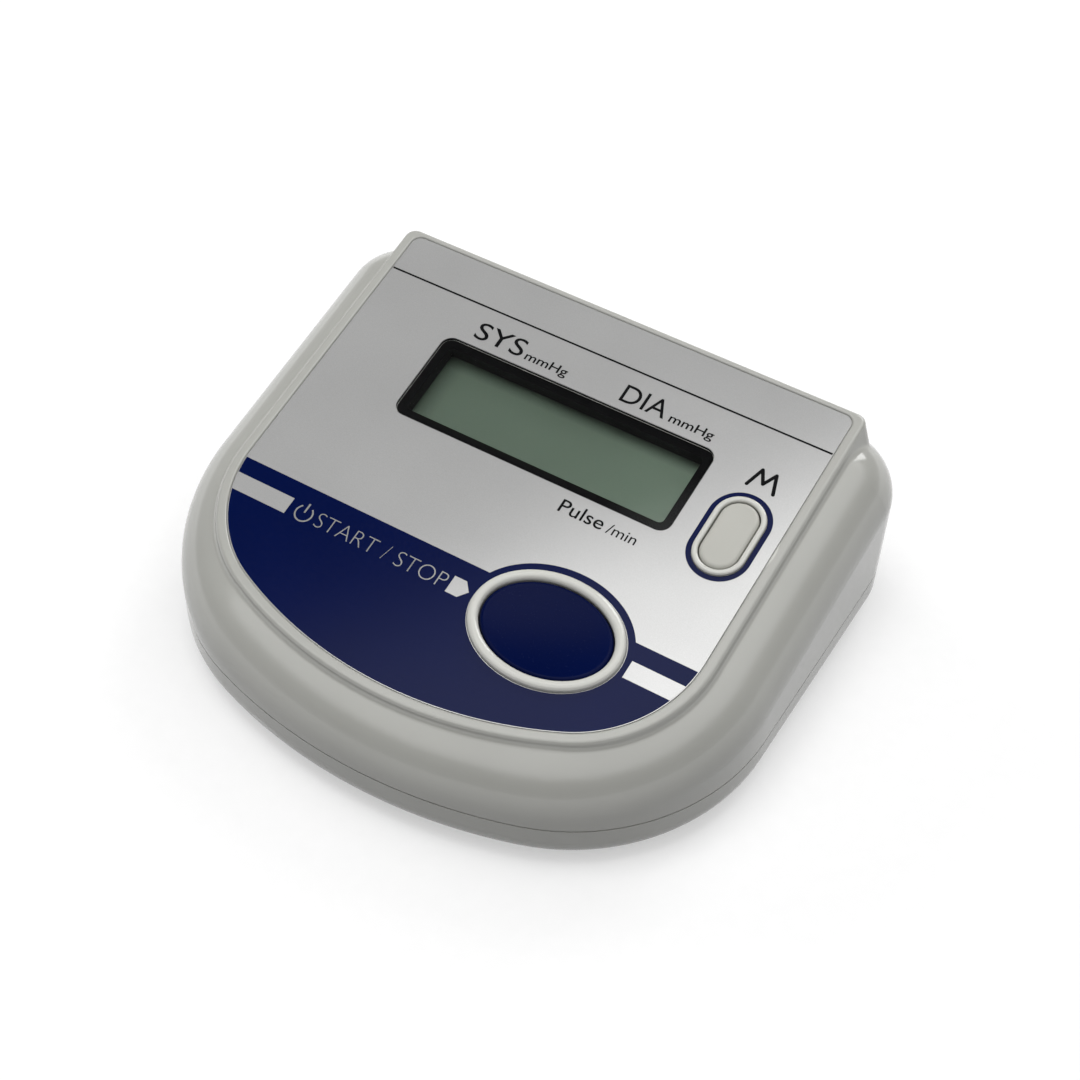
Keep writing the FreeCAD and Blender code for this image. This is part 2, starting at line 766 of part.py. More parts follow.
def make_start_button():
    """Round dished cap with its flange and stem, turned about its axis and then squashed to the oval hole."""
    radius = start_hole_width / 2 - button_clearance
    squash = (start_hole_height / 2 - button_clearance) / radius
    flange_top = -(ceiling + flange_gap)
    flange_under = flange_top - flange_thickness
    stem_under = -(board_top - switch_height - plunger_rise)
    flange_radius = radius + flange_overlap
    rim_in = radius - start_edge_round
    half_out = rim_in / 2
    dish_bottom = Vector(0, 0, start_cap_rise - start_dish)
    dish_mid = Vector(half_out, 0, start_cap_rise - start_dish * (1 - (half_out / rim_in) ** 2))
    edges = [
        Part.Arc(dish_bottom, dish_mid, Vector(rim_in, 0, start_cap_rise)).toShape(),
        arc_about(Vector(rim_in, 0, start_cap_rise - start_edge_round), start_edge_round,
                  Vector(rim_in, 0, start_cap_rise), Vector(radius, 0, start_cap_rise - start_edge_round)),
    ]
    corners = [Vector(radius, 0, start_cap_rise - start_edge_round), Vector(radius, 0, flange_top),
               Vector(flange_radius, 0, flange_top), Vector(flange_radius, 0, flange_under),
               Vector(stem_radius, 0, flange_under), Vector(stem_radius, 0, stem_under),
               Vector(0, 0, stem_under), dish_bottom]
    edges += [line(a, b) for a, b in zip(corners, corners[1:])]
    turned = Part.Face(Part.Wire(edges)).revolve(Vector(0, 0, 0), Vector(0, 0, 1), 360)
    stretch = FreeCAD.Matrix()
    stretch.scale(1, squash, 1)
    cap = turned.transformGeometry(stretch)
    cap.translate(Vector(start_x, start_y, 0))
    return on_panel(cap)


def make_memory_button():
    width = memory_hole_width - 2 * button_clearance
    height = memory_hole_height - 2 * button_clearance
    flange_top = -(ceiling + flange_gap)
    stem_under = -(board_top - switch_height - plunger_rise)
    cap = prism(stadium(memory_x, memory_y, width, height, flange_top), memory_cap_rise - flange_top)
    cap = cap.makeFillet(memory_edge_round, edges_at_height(cap, memory_cap_rise))
    flange = prism(stadium(memory_x, memory_y, width + 2 * flange_overlap, height + 2 * flange_overlap,
                           flange_top - flange_thickness), flange_thickness)
    stem = Part.makeCylinder(stem_radius, flange_top - stem_under, Vector(memory_x, memory_y, stem_under))
    return on_panel(cap.fuse([flange, stem]).removeSplitter())


def make_switch_body(x, y):
    half = switch_size / 2
    body = prism(rounded_rectangle(x - half, x + half, y - half, y + half, switch_corner_radius, -board_top),
                 switch_height)
    well_depth = plunger_depth + button_travel + plunger_bottom_gap
    well = Part.makeCylinder(plunger_radius + plunger_clearance, switch_height,
                             Vector(x, y, -board_top + switch_height - well_depth))
    return on_panel(body.cut(well))


def make_switch_plunger(x, y):
    top = board_top - switch_height - plunger_rise
    bottom = board_top - switch_height + plunger_depth
    return rod(plunger_radius, panel_point(x, y, bottom), panel_point(x, y, top))


def under_board(x, y, outline_shape):
    """Component drawn hanging below z = 0, moved to its place on the underside of the board."""
    outline_shape.translate(Vector(x, y, -board_under))
    return on_panel(outline_shape)


def make_board_components():
    half = chip_size / 2
    chip = prism(rounded_rectangle(-half, half, -half, half, package_corner_radius, -chip_thickness),
                 chip_thickness)
    chip = chip.makeChamfer(chip_chamfer, edges_at_height(chip, -chip_thickness))
    buzzer = Part.makeCylinder(buzzer_radius, buzzer_height, Vector(0, 0, -buzzer_height))
    sound_hole = Part.makeCylinder(sound_hole_radius, sound_hole_depth, Vector(0, 0, -buzzer_height))
    buzzer = buzzer.cut(sound_hole)
    half = sensor_size / 2
    sensor = prism(rounded_rectangle(-half, half, -half, half, package_corner_radius, -sensor_height),
                   sensor_height)
    port_end = Vector(0, 0, -sensor_height - port_length)
    port_depth = port_length + sensor_height / 2
    sensor = sensor.fuse(Part.makeCylinder(port_radius, port_depth, port_end))
    sensor = sensor.cut(Part.makeCylinder(port_bore_radius, port_depth, port_end))
    return {
        "controller_chip": under_board(chip_place[0], chip_place[1], chip),
        "buzzer": under_board(buzzer_place[0], buzzer_place[1], buzzer),
        "pressure_sensor": under_board(sensor_place[0], sensor_place[1], sensor),
    }


def tab_xs():
    """The cover's hinge tabs stand between the outer cells, where the round cells leave room."""
    return [-cell_pitch, cell_pitch]


def make_cradle_ribs():
    """Two ribs between the bay and the side wall, hollowed to hold the pump in its foam sleeve."""
    room = prism(case_outline(wall + lip_clearance, foot_height + wall / 2), pump_z)
    hollow = rod(pump_radius + cradle_clearance, Vector(pump_x, sleeve_front_y, pump_z),
                 Vector(pump_x, sleeve_rear_y, pump_z))
    ribs = []
    for y in (sleeve_front_y + cradle_rib_inset, sleeve_rear_y - cradle_rib_inset - cradle_rib_width):
        rib = box(bay_outer_x - bay_wall / 2, half_width, y, y + cradle_rib_width,
                  foot_height + wall / 2, pump_z)
        ribs.append(rib.common(room).cut(hollow))
    return ribs


def make_lower_case():
    body = prism(case_outline(0, foot_height), parting_height - seam_gap / 2 - foot_height)
    body = body.makeFillet(base_radius, edges_at_height(body, foot_height))
    inside = prism(case_outline(wall, floor_top), parting_height)
    inside = inside.makeFillet(base_radius - wall, edges_at_height(inside, floor_top))
    body = body.cut(inside)
    lip_foot = parting_height - seam_gap / 2 - lip_height
    lip = prism(case_outline(wall / 2 + lip_clearance, lip_foot), 2 * lip_height + seam_gap)
    lip = lip.cut(prism(case_outline(wall, lip_foot), 3 * lip_height))
    bay_outer = box(-bay_outer_x, bay_outer_x, bay_front_y - bay_wall, bay_rear_y + bay_wall,
                    foot_height + wall / 2, bay_ceiling + bay_roof)
    added = [lip, bay_outer]
    for x, y in boss_places:
        added.append(rod(boss_radius, Vector(x, y, foot_height + wall / 2), Vector(x, y, boss_split_height)))
    added += make_cradle_ribs()
    body = body.fuse(added).removeSplitter()

    cuts = []
    bay = box(-bay_half_width, bay_half_width, bay_front_y, bay_rear_y, 0, bay_ceiling)
    for x in [(a + b) / 2 for a, b in zip(cell_xs, cell_xs[1:])]:
        bay = bay.cut(box(x - divider_width / 2, x + divider_width / 2, bay_front_y + spring_length,
                          bay_rear_y - spring_length, bay_ceiling - divider_height, bay_ceiling))
    cuts.append(bay)
    seat_half = bay_half_width + cover_ledge
    seat_front = bay_front_y - cover_ledge
    seat_outline = rounded_rectangle(-seat_half, seat_half, seat_front, bay_rear_y,
                                     cover_corner_radius + cover_clearance, 0)
    cuts.append(prism(seat_outline, foot_height + cover_thickness))
    tab_sweep = cover_tab_length + cover_hinge_round + cover_clearance + wall
    for x in tab_xs():
        slot_half = cover_tab_width / 2 + cover_clearance
        cuts.append(box(x - slot_half, x + slot_half, bay_rear_y - wall,
                        bay_rear_y + cover_tab_length + cover_clearance, floor_top, floor_top + tab_sweep))
    ball_radius = scoop_radius ** 2 / (2 * scoop_depth)
    scoop = Part.makeSphere(ball_radius, Vector(0, seat_front, foot_height + scoop_depth - ball_radius))
    front_room = box(-case_width, case_width, -case_depth, seat_front + cover_clearance, 0, floor_top)
    cuts.append(scoop.common(front_room))
    for x, y in boss_places:
        seat = foot_height + screw_seat_depth
        cuts.append(rod(screw_head_radius + screw_clearance, Vector(x, y, 0), Vector(x, y, seat)))
        cuts.append(rod(screw_radius + screw_clearance, Vector(x, y, 0), Vector(x, y, 2 * boss_split_height)))
    for x, y in foot_places:
        recess_top = Vector(x, y, foot_height + foot_recess)
        cuts.append(rod(foot_radius + foot_clearance, Vector(x, y, 0), recess_top))
    return body.cut(cuts)


def make_battery_cover():
    side = bay_half_width + cover_ledge - cover_clearance
    front = bay_front_y - cover_ledge + cover_clearance
    rear = bay_rear_y - cover_clearance
    top = foot_height + cover_thickness
    plate = prism(rounded_rectangle(-side, side, front, rear, cover_corner_radius, foot_height),
                  cover_thickness)
    rear_low = [e for e in edges_at_height(plate, foot_height)
                if abs(e.BoundBox.YMin - rear) < touch_tolerance]
    plate = plate.makeFillet(cover_hinge_round, rear_low)
    added = []
    tab_under = floor_top + cover_tab_gap
    tab_top = tab_under + cover_tab_thickness
    tab_root_y = bay_rear_y - cover_clearance - cover_hinge_round
    for x in tab_xs():
        x0, x1 = x - cover_tab_width / 2, x + cover_tab_width / 2
        y0 = tab_root_y - cover_tab_root
        added.append(box(x0, x1, y0, tab_root_y, top - cover_thickness / 2, tab_top))
        added.append(box(x0, x1, y0, bay_rear_y + cover_tab_length, tab_under, tab_top))
    upstand_y = bay_front_y + latch_gap
    added.append(box(-latch_width / 2, latch_width / 2, upstand_y, upstand_y + latch_upstand_thickness,
                     top - cover_thickness / 2, top + latch_upstand))
    for i in range(grip_count):
        y = front + grip_pitch * (i + 1)
        added.append(rod(grip_radius, Vector(-latch_width / 3, y, foot_height + grip_radius / 2),
                         Vector(latch_width / 3, y, foot_height + grip_radius / 2)))
    cover = plate.fuse(added).removeSplitter()
    slots = []
    for side_sign in (-1, 1):
        x = side_sign * (latch_width + latch_slot) / 2
        slots.append(box(x - latch_slot / 2, x + latch_slot / 2, front - wall, front + latch_length,
                         0, top + latch_upstand))
    return cover.cut(slots)


def cell_facing(index):
    """+1 where the cell's nub faces the rear, -1 where it faces the front."""
    return 1 if index % 2 else -1


def make_battery_cell(index):
    can_length = cell_length - nub_height
    profile = [(0, 0), (cell_radius - cell_rim, 0), (cell_radius, cell_rim),
               (cell_radius, can_length - cell_rim), (cell_radius - cell_rim, can_length),
               (nub_radius, can_length), (nub_radius, cell_length), (0, cell_length)]
    points = [Vector(r, y, 0) for r, y in profile]
    outline = Part.makePolygon(points + points[:1])
    cell = Part.Face(outline).revolve(Vector(0, 0, 0), Vector(0, 1, 0), 360)
    if cell_facing(index) < 0:
        cell.rotate(Vector(0, 0, 0), Vector(0, 0, 1), 180)
        cell.translate(Vector(0, bay_front_y + contact_thickness + cell_length, 0))
    else:
        cell.translate(Vector(0, bay_rear_y - contact_thickness - cell_length, 0))
    cell.translate(Vector(cell_xs[index], 0, cell_axis_z))
    return cell


def spring_points():
    """Half-turn ends of the conical spring, as (signed radius, height along the cell)."""
    rise = (spring_length - spring_wire) / spring_half_turns
    taper = (spring_wide_radius - spring_narrow_radius) / spring_half_turns
    return [((spring_wide_radius - taper * i) * (-1) ** i, spring_wire / 2 + rise * i)
            for i in range(spring_half_turns + 1)]


def make_spring(x, plate_y, facing):
    """One wire of half circles, each tilted so that it climbs half a pitch, meeting tangent to Z."""
    edges = []
    samples = []
    ends = [Vector(x + r, plate_y + facing * h, cell_axis_z) for r, h in spring_points()]
    for i, (a, b) in enumerate(zip(ends, ends[1:])):
        swing = Vector(0, 0, (a - b).Length / 2 * (-1) ** i)
        arc = Part.Arc(a, (a + b) * 0.5 + swing, b).toShape()
        edges.append(arc)
        samples.append(arc.discretize(spring_gap_samples))
    section = Part.Wire([Part.Circle(ends[0], Vector(0, 0, 1), spring_wire / 2).toShape()])
    wire = Part.Wire(edges).makePipeShell([section], True, False)
    gaps = [(p - q).Length - spring_wire for i, near in enumerate(samples) for far in samples[i + 2:]
            for p in near for q in far]
    return wire, min(gaps)


def make_battery_contacts():
    springs = []
    least_gap = spring_length
    for i, x in enumerate(cell_xs):
        facing = cell_facing(i)
        plate_y = bay_front_y + contact_thickness if facing > 0 else bay_rear_y - contact_thickness
        spring, gap = make_spring(x, plate_y, facing)
        springs.append(spring)
        least_gap = min(least_gap, gap)
    print("least gap between spring turns %.2f mm" % least_gap)
    z0 = cell_axis_z - contact_height / 2
    z1 = cell_axis_z + contact_height / 2
    half = contact_width / 2
    bridges = list(zip(cell_xs[0::2], cell_xs[1::2]))
    rear = [box(a - half, b + half, bay_rear_y - contact_thickness, bay_rear_y, z0, z1) for a, b in bridges]
    ends = [(cell_xs[0], cell_xs[0]), (cell_xs[-1], cell_xs[-1])]
    ends += list(zip(cell_xs[1:-1:2], cell_xs[2:-1:2]))
    front = [box(a - half, b + half, bay_front_y, bay_front_y + contact_thickness, z0, z1) for a, b in ends]
    return {
        "battery_springs": Part.makeCompound(springs),
        "rear_contact_plates": Part.makeCompound(rear),
        "front_contact_plates": Part.makeCompound(front),
    }


def make_case_screws():
    screws = []
    foot = foot_height + screw_seat_depth - screw_head_height
    for x, y in boss_places:
        screw = make_screw(screw_radius, screw_head_radius, screw_head_height,
                           boss_split_height + screw_reach - foot)
        screw.translate(Vector(x, y, foot))
        screws.append(screw)
    return Part.makeCompound(screws)


def make_rubber_feet():
    feet = []
    for x, y in foot_places:
        foot = rod(foot_radius, Vector(x, y, 0), Vector(x, y, foot_height + foot_recess))
        feet.append(foot.makeFillet(foot_round, edges_at_height(foot, 0)))
    return Part.makeCompound(feet)


def nozzle(base, direction, length):
    """Short spigot standing on a face, with the bore that runs through it."""
    root = base - direction * length / 2
    tip = base + direction * length
    return rod(nozzle_radius, root, tip), rod(nozzle_bore_radius, root, tip + direction)


def make_pump():
    axis_front = Vector(pump_x, motor_front_y, pump_z)
    axis_rear = Vector(pump_x, motor_rear_y, pump_z)
    rear_boss = rod(motor_boss_radius, axis_rear, axis_rear + Vector(0, motor_boss_height, 0))
    motor = rod(motor_radius, axis_front, axis_rear).fuse(rear_boss)
    head_front = Vector(pump_x, pump_head_front_y, pump_z)
    head = rod(pump_head_radius, head_front, axis_front)
    front_edges = [e for e in head.Edges if abs(e.BoundBox.YMax - pump_head_front_y) < touch_tolerance]
    head = head.makeFillet(pump_head_round, front_edges)
    outlet, bore = nozzle(Vector(pump_x, pump_head_front_y, air_z), Vector(0, -1, 0), nozzle_length)
    head = head.fuse(outlet).cut(bore)
    sleeve_ends = (Vector(pump_x, sleeve_front_y, pump_z), Vector(pump_x, sleeve_rear_y, pump_z))
    foam = rod(pump_radius, *sleeve_ends).cut(rod(motor_radius, *sleeve_ends))
    return {"pump_motor": motor, "pump_head": head, "pump_sleeve": foam}


def make_air_circuit():
    block = box(manifold_x0, manifold_x1, manifold_y0, manifold_y1, floor_top, manifold_top)
    uprights = [e for e in block.Edges if abs(e.BoundBox.ZLength - manifold_height) < touch_tolerance]
    block = block.makeFillet(manifold_round, uprights)
    places = [
        (Vector(manifold_pump_x, manifold_y0, air_z), Vector(0, -1, 0), nozzle_length),
        (Vector(manifold_socket_x, manifold_y1, air_z), Vector(0, 1, 0), nozzle_length),
        (Vector(sensor_bend.x, sensor_bend.y, manifold_top), Vector(0, 0, 1), port_length),
    ]
    spigots, bores = zip(*[nozzle(*place) for place in places])
    plug_bore = rod(nozzle_radius + valve_plug_clearance, Vector(valve_x, manifold_y0 - wall, air_z),
                    Vector(valve_x, manifold_y0 + valve_plug_depth + valve_plug_end_gap, air_z))
    manifold = block.fuse(list(spigots)).cut(list(bores) + [plug_bore])

    gap = tube_end_gap
    pump_tube = air_tube([Vector(pump_x, pump_head_front_y - gap, air_z), Vector(pump_x, tube_run_y, air_z),
                          Vector(manifold_pump_x, tube_run_y, air_z),
                          Vector(manifold_pump_x, manifold_y0 - gap, air_z)], tube_bend)
    socket_tube = air_tube([Vector(manifold_socket_x, manifold_y1 + gap, air_z),
                            Vector(manifold_socket_x, socket_y, air_z),
                            Vector(manifold_socket_x, socket_y, socket_height),
                            Vector(socket_core_x + gap, socket_y, socket_height)], socket_tube_bend)
    port_base = panel_point(sensor_place[0], sensor_place[1], board_under + sensor_height + gap)
    tube_foot = Vector(sensor_bend.x, sensor_bend.y, manifold_top + gap)
    sensor_tube = air_tube([port_base, sensor_bend, tube_foot], sensor_tube_bend)

    top = floor_top + valve_size
    half = valve_size / 2
    valve = box(valve_x - half, valve_x + half, valve_front_y, valve_rear_y, floor_top, top)
    window = box(valve_x - half, valve_x + half, valve_front_y + valve_frame, valve_rear_y - valve_frame,
                 floor_top + valve_frame, top + valve_frame)
    coil_axis_z = floor_top + valve_frame + valve_coil_gap + valve_coil_radius
    coil = rod(valve_coil_radius, Vector(valve_x, valve_front_y + valve_frame / 2, coil_axis_z),
               Vector(valve_x, valve_rear_y - valve_frame / 2, coil_axis_z))
    plug = rod(nozzle_radius, Vector(valve_x, valve_rear_y - valve_frame / 2, air_z),
               Vector(valve_x, manifold_y0 + valve_plug_depth, air_z))
    valve = valve.cut(window).fuse([coil, plug]).removeSplitter()
    return {"air_manifold": manifold, "pump_tube": pump_tube, "socket_tube": socket_tube,
            "sensor_tube": sensor_tube, "release_valve": valve}


def make_air_socket():
    """Bush in the side wall: a flange against the inside of the wall, a blind bore and a spigot behind it."""
    mouth = Vector(-half_width + socket_recess, socket_y, socket_height)
    inner_wall = Vector(-half_width + wall, socket_y, socket_height)
    flange_back = inner_wall + Vector(socket_flange, 0, 0)
    core_back = Vector(socket_core_x, socket_y, socket_height)
    spigot_end = core_back + Vector(socket_spigot_length, 0, 0)
    barrel = rod(socket_radius, mouth, flange_back)
    flange = rod(socket_flange_radius, inner_wall, flange_back)
    core = rod(socket_bore_radius + socket_core_wall, mouth, core_back)
    spigot = rod(nozzle_radius, core_back - Vector(socket_core_wall, 0, 0), spigot_end)
    bore = rod(socket_bore_radius, mouth, mouth + Vector(socket_bore_depth, 0, 0))
    return barrel.fuse([flange, core, spigot]).cut([bore, rod(nozzle_bore_radius, mouth, spigot_end)])


def make_all():
    nodes = {
        "upper_case": make_upper_case(),
        "lower_case": make_lower_case(),
        "battery_cover": make_battery_cover(),
        "front_label": make_front_label(),
        "display_window": make_display_window(),
        "display_frame": make_display_frame(),
        "main_board": make_main_board(),
        "board_screws": make_board_screws(),
        "start_button": make_start_button(),
        "memory_button": make_memory_button(),
        "start_switch_body": make_switch_body(start_x, start_y),
        "start_switch_plunger": make_switch_plunger(start_x, start_y),
        "memory_switch_body": make_switch_body(memory_x, memory_y),
        "memory_switch_plunger": make_switch_plunger(memory_x, memory_y),
        "case_screws": make_case_screws(),
        "rubber_feet": make_rubber_feet(),
        "air_socket": make_air_socket(),
    }
    for i in range(cell_count):
        nodes["battery_cell_%d" % (i + 1)] = make_battery_cell(i)
    groups = (make_display_glass(), make_board_components(), make_battery_contacts(), make_pump(),
              make_air_circuit())
    for group in groups:
        nodes.update(group)
    return nodes


def main():
    os.makedirs("parts", exist_ok=True)
    for name, shape in make_all().items():
        if not shape.isValid():
            raise ValueError("%s is not a valid solid" % name)
        shape.exportStep("parts/%s.step" % name)
        print("%s: %d solids, %.1f mm3" % (name, len(shape.Solids), shape.Volume))


main()
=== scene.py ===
"""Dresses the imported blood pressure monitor: panel print, lettering, finishes and the stage."""
import json
import math

import bpy
import numpy as np
from bpy.props import FloatProperty, FloatVectorProperty, PointerProperty
from bpy.types import Operator, Panel, PropertyGroup
from mathutils import Matrix, Vector


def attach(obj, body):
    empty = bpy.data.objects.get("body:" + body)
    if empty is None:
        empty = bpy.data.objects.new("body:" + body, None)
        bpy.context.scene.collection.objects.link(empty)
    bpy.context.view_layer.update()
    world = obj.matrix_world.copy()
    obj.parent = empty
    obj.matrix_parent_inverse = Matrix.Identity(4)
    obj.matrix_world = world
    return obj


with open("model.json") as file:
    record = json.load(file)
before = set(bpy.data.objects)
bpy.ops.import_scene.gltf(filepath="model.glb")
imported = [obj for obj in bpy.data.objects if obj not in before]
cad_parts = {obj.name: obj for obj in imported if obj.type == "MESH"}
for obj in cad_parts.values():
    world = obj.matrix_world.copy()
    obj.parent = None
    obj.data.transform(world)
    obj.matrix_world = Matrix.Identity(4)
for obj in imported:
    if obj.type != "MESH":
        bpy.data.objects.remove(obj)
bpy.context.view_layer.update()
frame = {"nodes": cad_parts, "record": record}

bl_info = {
    "name": "Blood pressure monitor dressing",
    "version": (1, 0, 0),
    "blender": (4, 5, 0),
    "location": "3D View > Sidebar > Monitor",
    "description": "Panel print, lettering, finishes and stage for the blood pressure monitor",
    "category": "Object",
}

MM = 0.001

# Display window, in metres
WINDOW_CORNER = 2.1 * MM
SEEN_CORNER = 1.0 * MM
BORDER_GAP = 0.01 * MM

# Rings round the buttons: where their plastic is lighter, which is partly a lighter ring plastic
# and partly a painted highlight on the rings, and the line printed round one of them, as the width,
# height and corner of its two edges
RING_POINTS = 160
RING_MARGIN = 0.2 * MM
RING_FADE = 0.3 * MM
RING_FOOT = 0.15 * MM
RING_TONE_AND_HIGHLIGHT = 1.42
MEMORY_REACH = 8.5 * MM
MEMORY_LINE_OUTER = (11.6 * MM, 18.6 * MM, 5.79 * MM)
MEMORY_LINE_INNER = (9.76 * MM, 16.66 * MM, 4.87 * MM)

# Dark field
FIELD_RAYS = 720
FIELD_HALVINGS = 44
EDGE_HALVINGS = 40
FIELD_SLACK = 1e-9

# Bright marks: ends of the stripes and the arrow, and the on-off sign with its gap in degrees
LINE_POINTS = 61
STRIPE_POINTS = 25
STRIPE_LEFT_END = -33.0 * MM
STRIPE_RIGHT_START = 35.3 * MM
ARROW_LEFT = 0.6 * MM
ARROW_TIP = 4.4 * MM
ARROW_POINT = 1.4 * MM
SIGN_X = -29.8 * MM
SIGN_DROP = 0.1 * MM
SIGN_GAP = 38
SIGN_POINTS = 49
SIGN_RADII = (1.48 * MM, 1.78 * MM)
BAR_HALF = 0.17 * MM
BAR_ENDS = (0.15 * MM, 2.15 * MM)
DIM_TONE = 0.72

# Lettering: steps of a curve, and the memory button's letter as the corners of its strokes
LETTER_STEPS = 6
LETTER_STROKE = 0.66 * MM
LETTER_LAYER = 0.001 * MM
LETTER_CORNERS = ((35.55, -20.75), (36.75, -16.95), (38.1, -19.6), (39.45, -16.95), (40.65, -20.75))
STROKE_START = 0.04
STROKE_POINTS = 9

# Cells: length of a jacket, the ends that are compared, and the jacket's colours along it
CELL_COUNT = 4
CELL_LENGTH = 51.8 * MM
CELL_END = 0.2 * MM
CELL_STOPS = ((0.0, (0.62, 0.61, 0.58)), (0.035, (0.55, 0.30, 0.12)), (0.27, (0.70, 0.70, 0.70)),
              (0.285, (0.020, 0.022, 0.028)), (0.985, (0.60, 0.60, 0.58)))

# Floor: its far radius, its rings as shares of the case's base outline, and where its glow rises
FLOOR_RADIUS = 2.0
FLOOR_COLUMNS = 180
FLOOR_RINGS = (0.01, 0.97, 1.0)
FLOOR_COVERED = (1.0, 1.0, 0.0, 0.0)
FLOOR_BASE = 0.1 * MM
LEAST_COSINE = 0.001
FLOOR_FAR_GLOW = 0.90
FLOOR_GLOW_SPAN = (0.30, 1.60)

# Room: the white at the floor's edge, heights of the changes, and where the ceiling is lit
ROOM_WHITE = (0.96, 0.96, 0.96)
WHITE_SPAN = (0.0, 0.05)
WALL_SPAN = (0.06, 0.26)
LIT_WAY = (0.63, -0.66, 0.40)
LIT_EDGE = (0.006, 0.054)
LIT_RISE = (0.50, 0.68)

# Camera: its place in metres and the ways that are right, down and forward in the picture
CAMERA_PLACE = (0.12505, -0.20578, 0.28728)
CAMERA_RIGHT = (0.85447, 0.51890, 0.02498)
CAMERA_DOWN = (0.39892, -0.62458, -0.67139)
CAMERA_FORWARD = (-0.33279, 0.58365, -0.74068)
SENSOR_WIDTH = 36.0
NEAREST = 0.01


def joint_axis(name):
    """Unit axis of a joint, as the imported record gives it."""
    for joint in frame["record"]["behaviour"]["joints"]:
        if joint["name"] == name:
            return np.array(joint["axis"], dtype=float)
    raise RuntimeError("The record has no joint " + name)


def mesh_points(mesh):
    """All vertices of a mesh, as an array of n rows."""
    points = np.empty(len(mesh.vertices) * 3)
    mesh.vertices.foreach_get("co", points)
    return points.reshape(-1, 3)


def node_points(name):
    """All vertices of a CAD node, in metres, as an array of n rows."""
    return mesh_points(frame["nodes"][name].data)


# The panel's own axes: across, up the slope, and out of the panel, which the buttons press against
OUT = -joint_axis("start_press")
ACROSS = np.array([1.0, 0.0, 0.0])
UP_SLOPE = np.cross(OUT, ACROSS)
LABEL_TOP = float((node_points("front_label") @ OUT).max())
LABEL_REAR = float((node_points("front_label") @ UP_SLOPE).max())


class MonitorPrint(PropertyGroup):
    """Places and sizes of the printed panel, measured from the middle of the label's rear edge."""

    line_drop: FloatProperty(
        name="Line", description="Distance of the cross line from the rear edge",
        default=8.5 * MM, unit="LENGTH")
    line_width: FloatProperty(
        name="Line width", description="Width of the cross line",
        default=0.38 * MM, unit="LENGTH")
    field_drop: FloatProperty(
        name="Dark field", description="Distance of the dark field from the rear edge",
        default=56.95 * MM, unit="LENGTH")
    label_half_width: FloatProperty(
        name="Label half width", description="Half width of the printed area",
        default=45.86 * MM, unit="LENGTH")
    label_length: FloatProperty(
        name="Label length", description="Length of the printed area",
        default=83.62 * MM, unit="LENGTH")
    front_radius: FloatProperty(
        name="Front radius", description="Radius of the label's front edge",
        default=77.86 * MM, unit="LENGTH")
    corner_radius: FloatProperty(
        name="Corner radius", description="Radius of the label's front corners",
        default=23.86 * MM, unit="LENGTH")
    start_x: FloatProperty(
        name="Start x", description="Start button's place across the panel",
        default=19.8 * MM, unit="LENGTH")
    start_drop: FloatProperty(
        name="Start drop", description="Start button's distance from the rear edge",
        default=62.1 * MM, unit="LENGTH")
    start_ring_width: FloatProperty(
        name="Start ring width", description="Width of the opening for the ring",
        default=28.9 * MM, unit="LENGTH")
    start_ring_height: FloatProperty(
        name="Start ring height", description="Height of the opening for the ring",
        default=21.9 * MM, unit="LENGTH")
    start_margin: FloatProperty(
        name="Start margin", description="Dark margin printed round the start ring",
        default=1.3 * MM, unit="LENGTH")
    memory_x: FloatProperty(
        name="Memory x", description="Memory button's place across the panel",
        default=38.0 * MM, unit="LENGTH")
    memory_drop: FloatProperty(
        name="Memory drop", description="Memory button's distance from the rear edge",
        default=31.6 * MM, unit="LENGTH")
    stripe_drop: FloatProperty(
        name="Stripe drop", description="Distance of the stripe from the rear edge",
        default=60.26 * MM, unit="LENGTH")
    stripe_height: FloatProperty(
        name="Stripe height", description="Height of the bright stripe",
        default=3.43 * MM, unit="LENGTH")
    window_drop: FloatProperty(
        name="Window drop", description="Distance of the window's middle from the rear edge",
        default=26.8 * MM, unit="LENGTH")
    window_width: FloatProperty(
        name="Window width", description="Width of the display window",
        default=56.25 * MM, unit="LENGTH")
    window_height: FloatProperty(
        name="Window height", description="Height of the display window",
        default=18.7 * MM, unit="LENGTH")
    window_border: FloatProperty(
        name="Window border", description="Width of the border under the window",
        default=1.7 * MM, unit="LENGTH")
    ink_height: FloatProperty(
        name="Ink height", description="Height of one layer of ink above the label",
        default=0.015 * MM, unit="LENGTH")


class MonitorColours(PropertyGroup):
    """Colours of the monitor's finishes, as linear values."""

    case: FloatVectorProperty(
        name="Case", description="Moulded case", subtype="COLOR",
        default=(0.392, 0.392, 0.367), min=0.0, max=1.0)
    label: FloatVectorProperty(
        name="Label", description="Silver label film", subtype="COLOR",
        default=(0.705, 0.705, 0.699), min=0.0, max=1.0)
    navy: FloatVectorProperty(
        name="Navy", description="Dark field and start button", subtype="COLOR",
        default=(0.0004, 0.0040, 0.043), min=0.0, max=1.0)
    black: FloatVectorProperty(
        name="Black", description="Black ink and black mouldings", subtype="COLOR",
        default=(0.007, 0.007, 0.008), min=0.0, max=1.0)
    display: FloatVectorProperty(
        name="Display", description="Display with nothing shown", subtype="COLOR",
        default=(0.128, 0.171, 0.130), min=0.0, max=1.0)
    grey: FloatVectorProperty(
        name="Grey", description="Memory button", subtype="COLOR",
        default=(0.424, 0.421, 0.386), min=0.0, max=1.0)


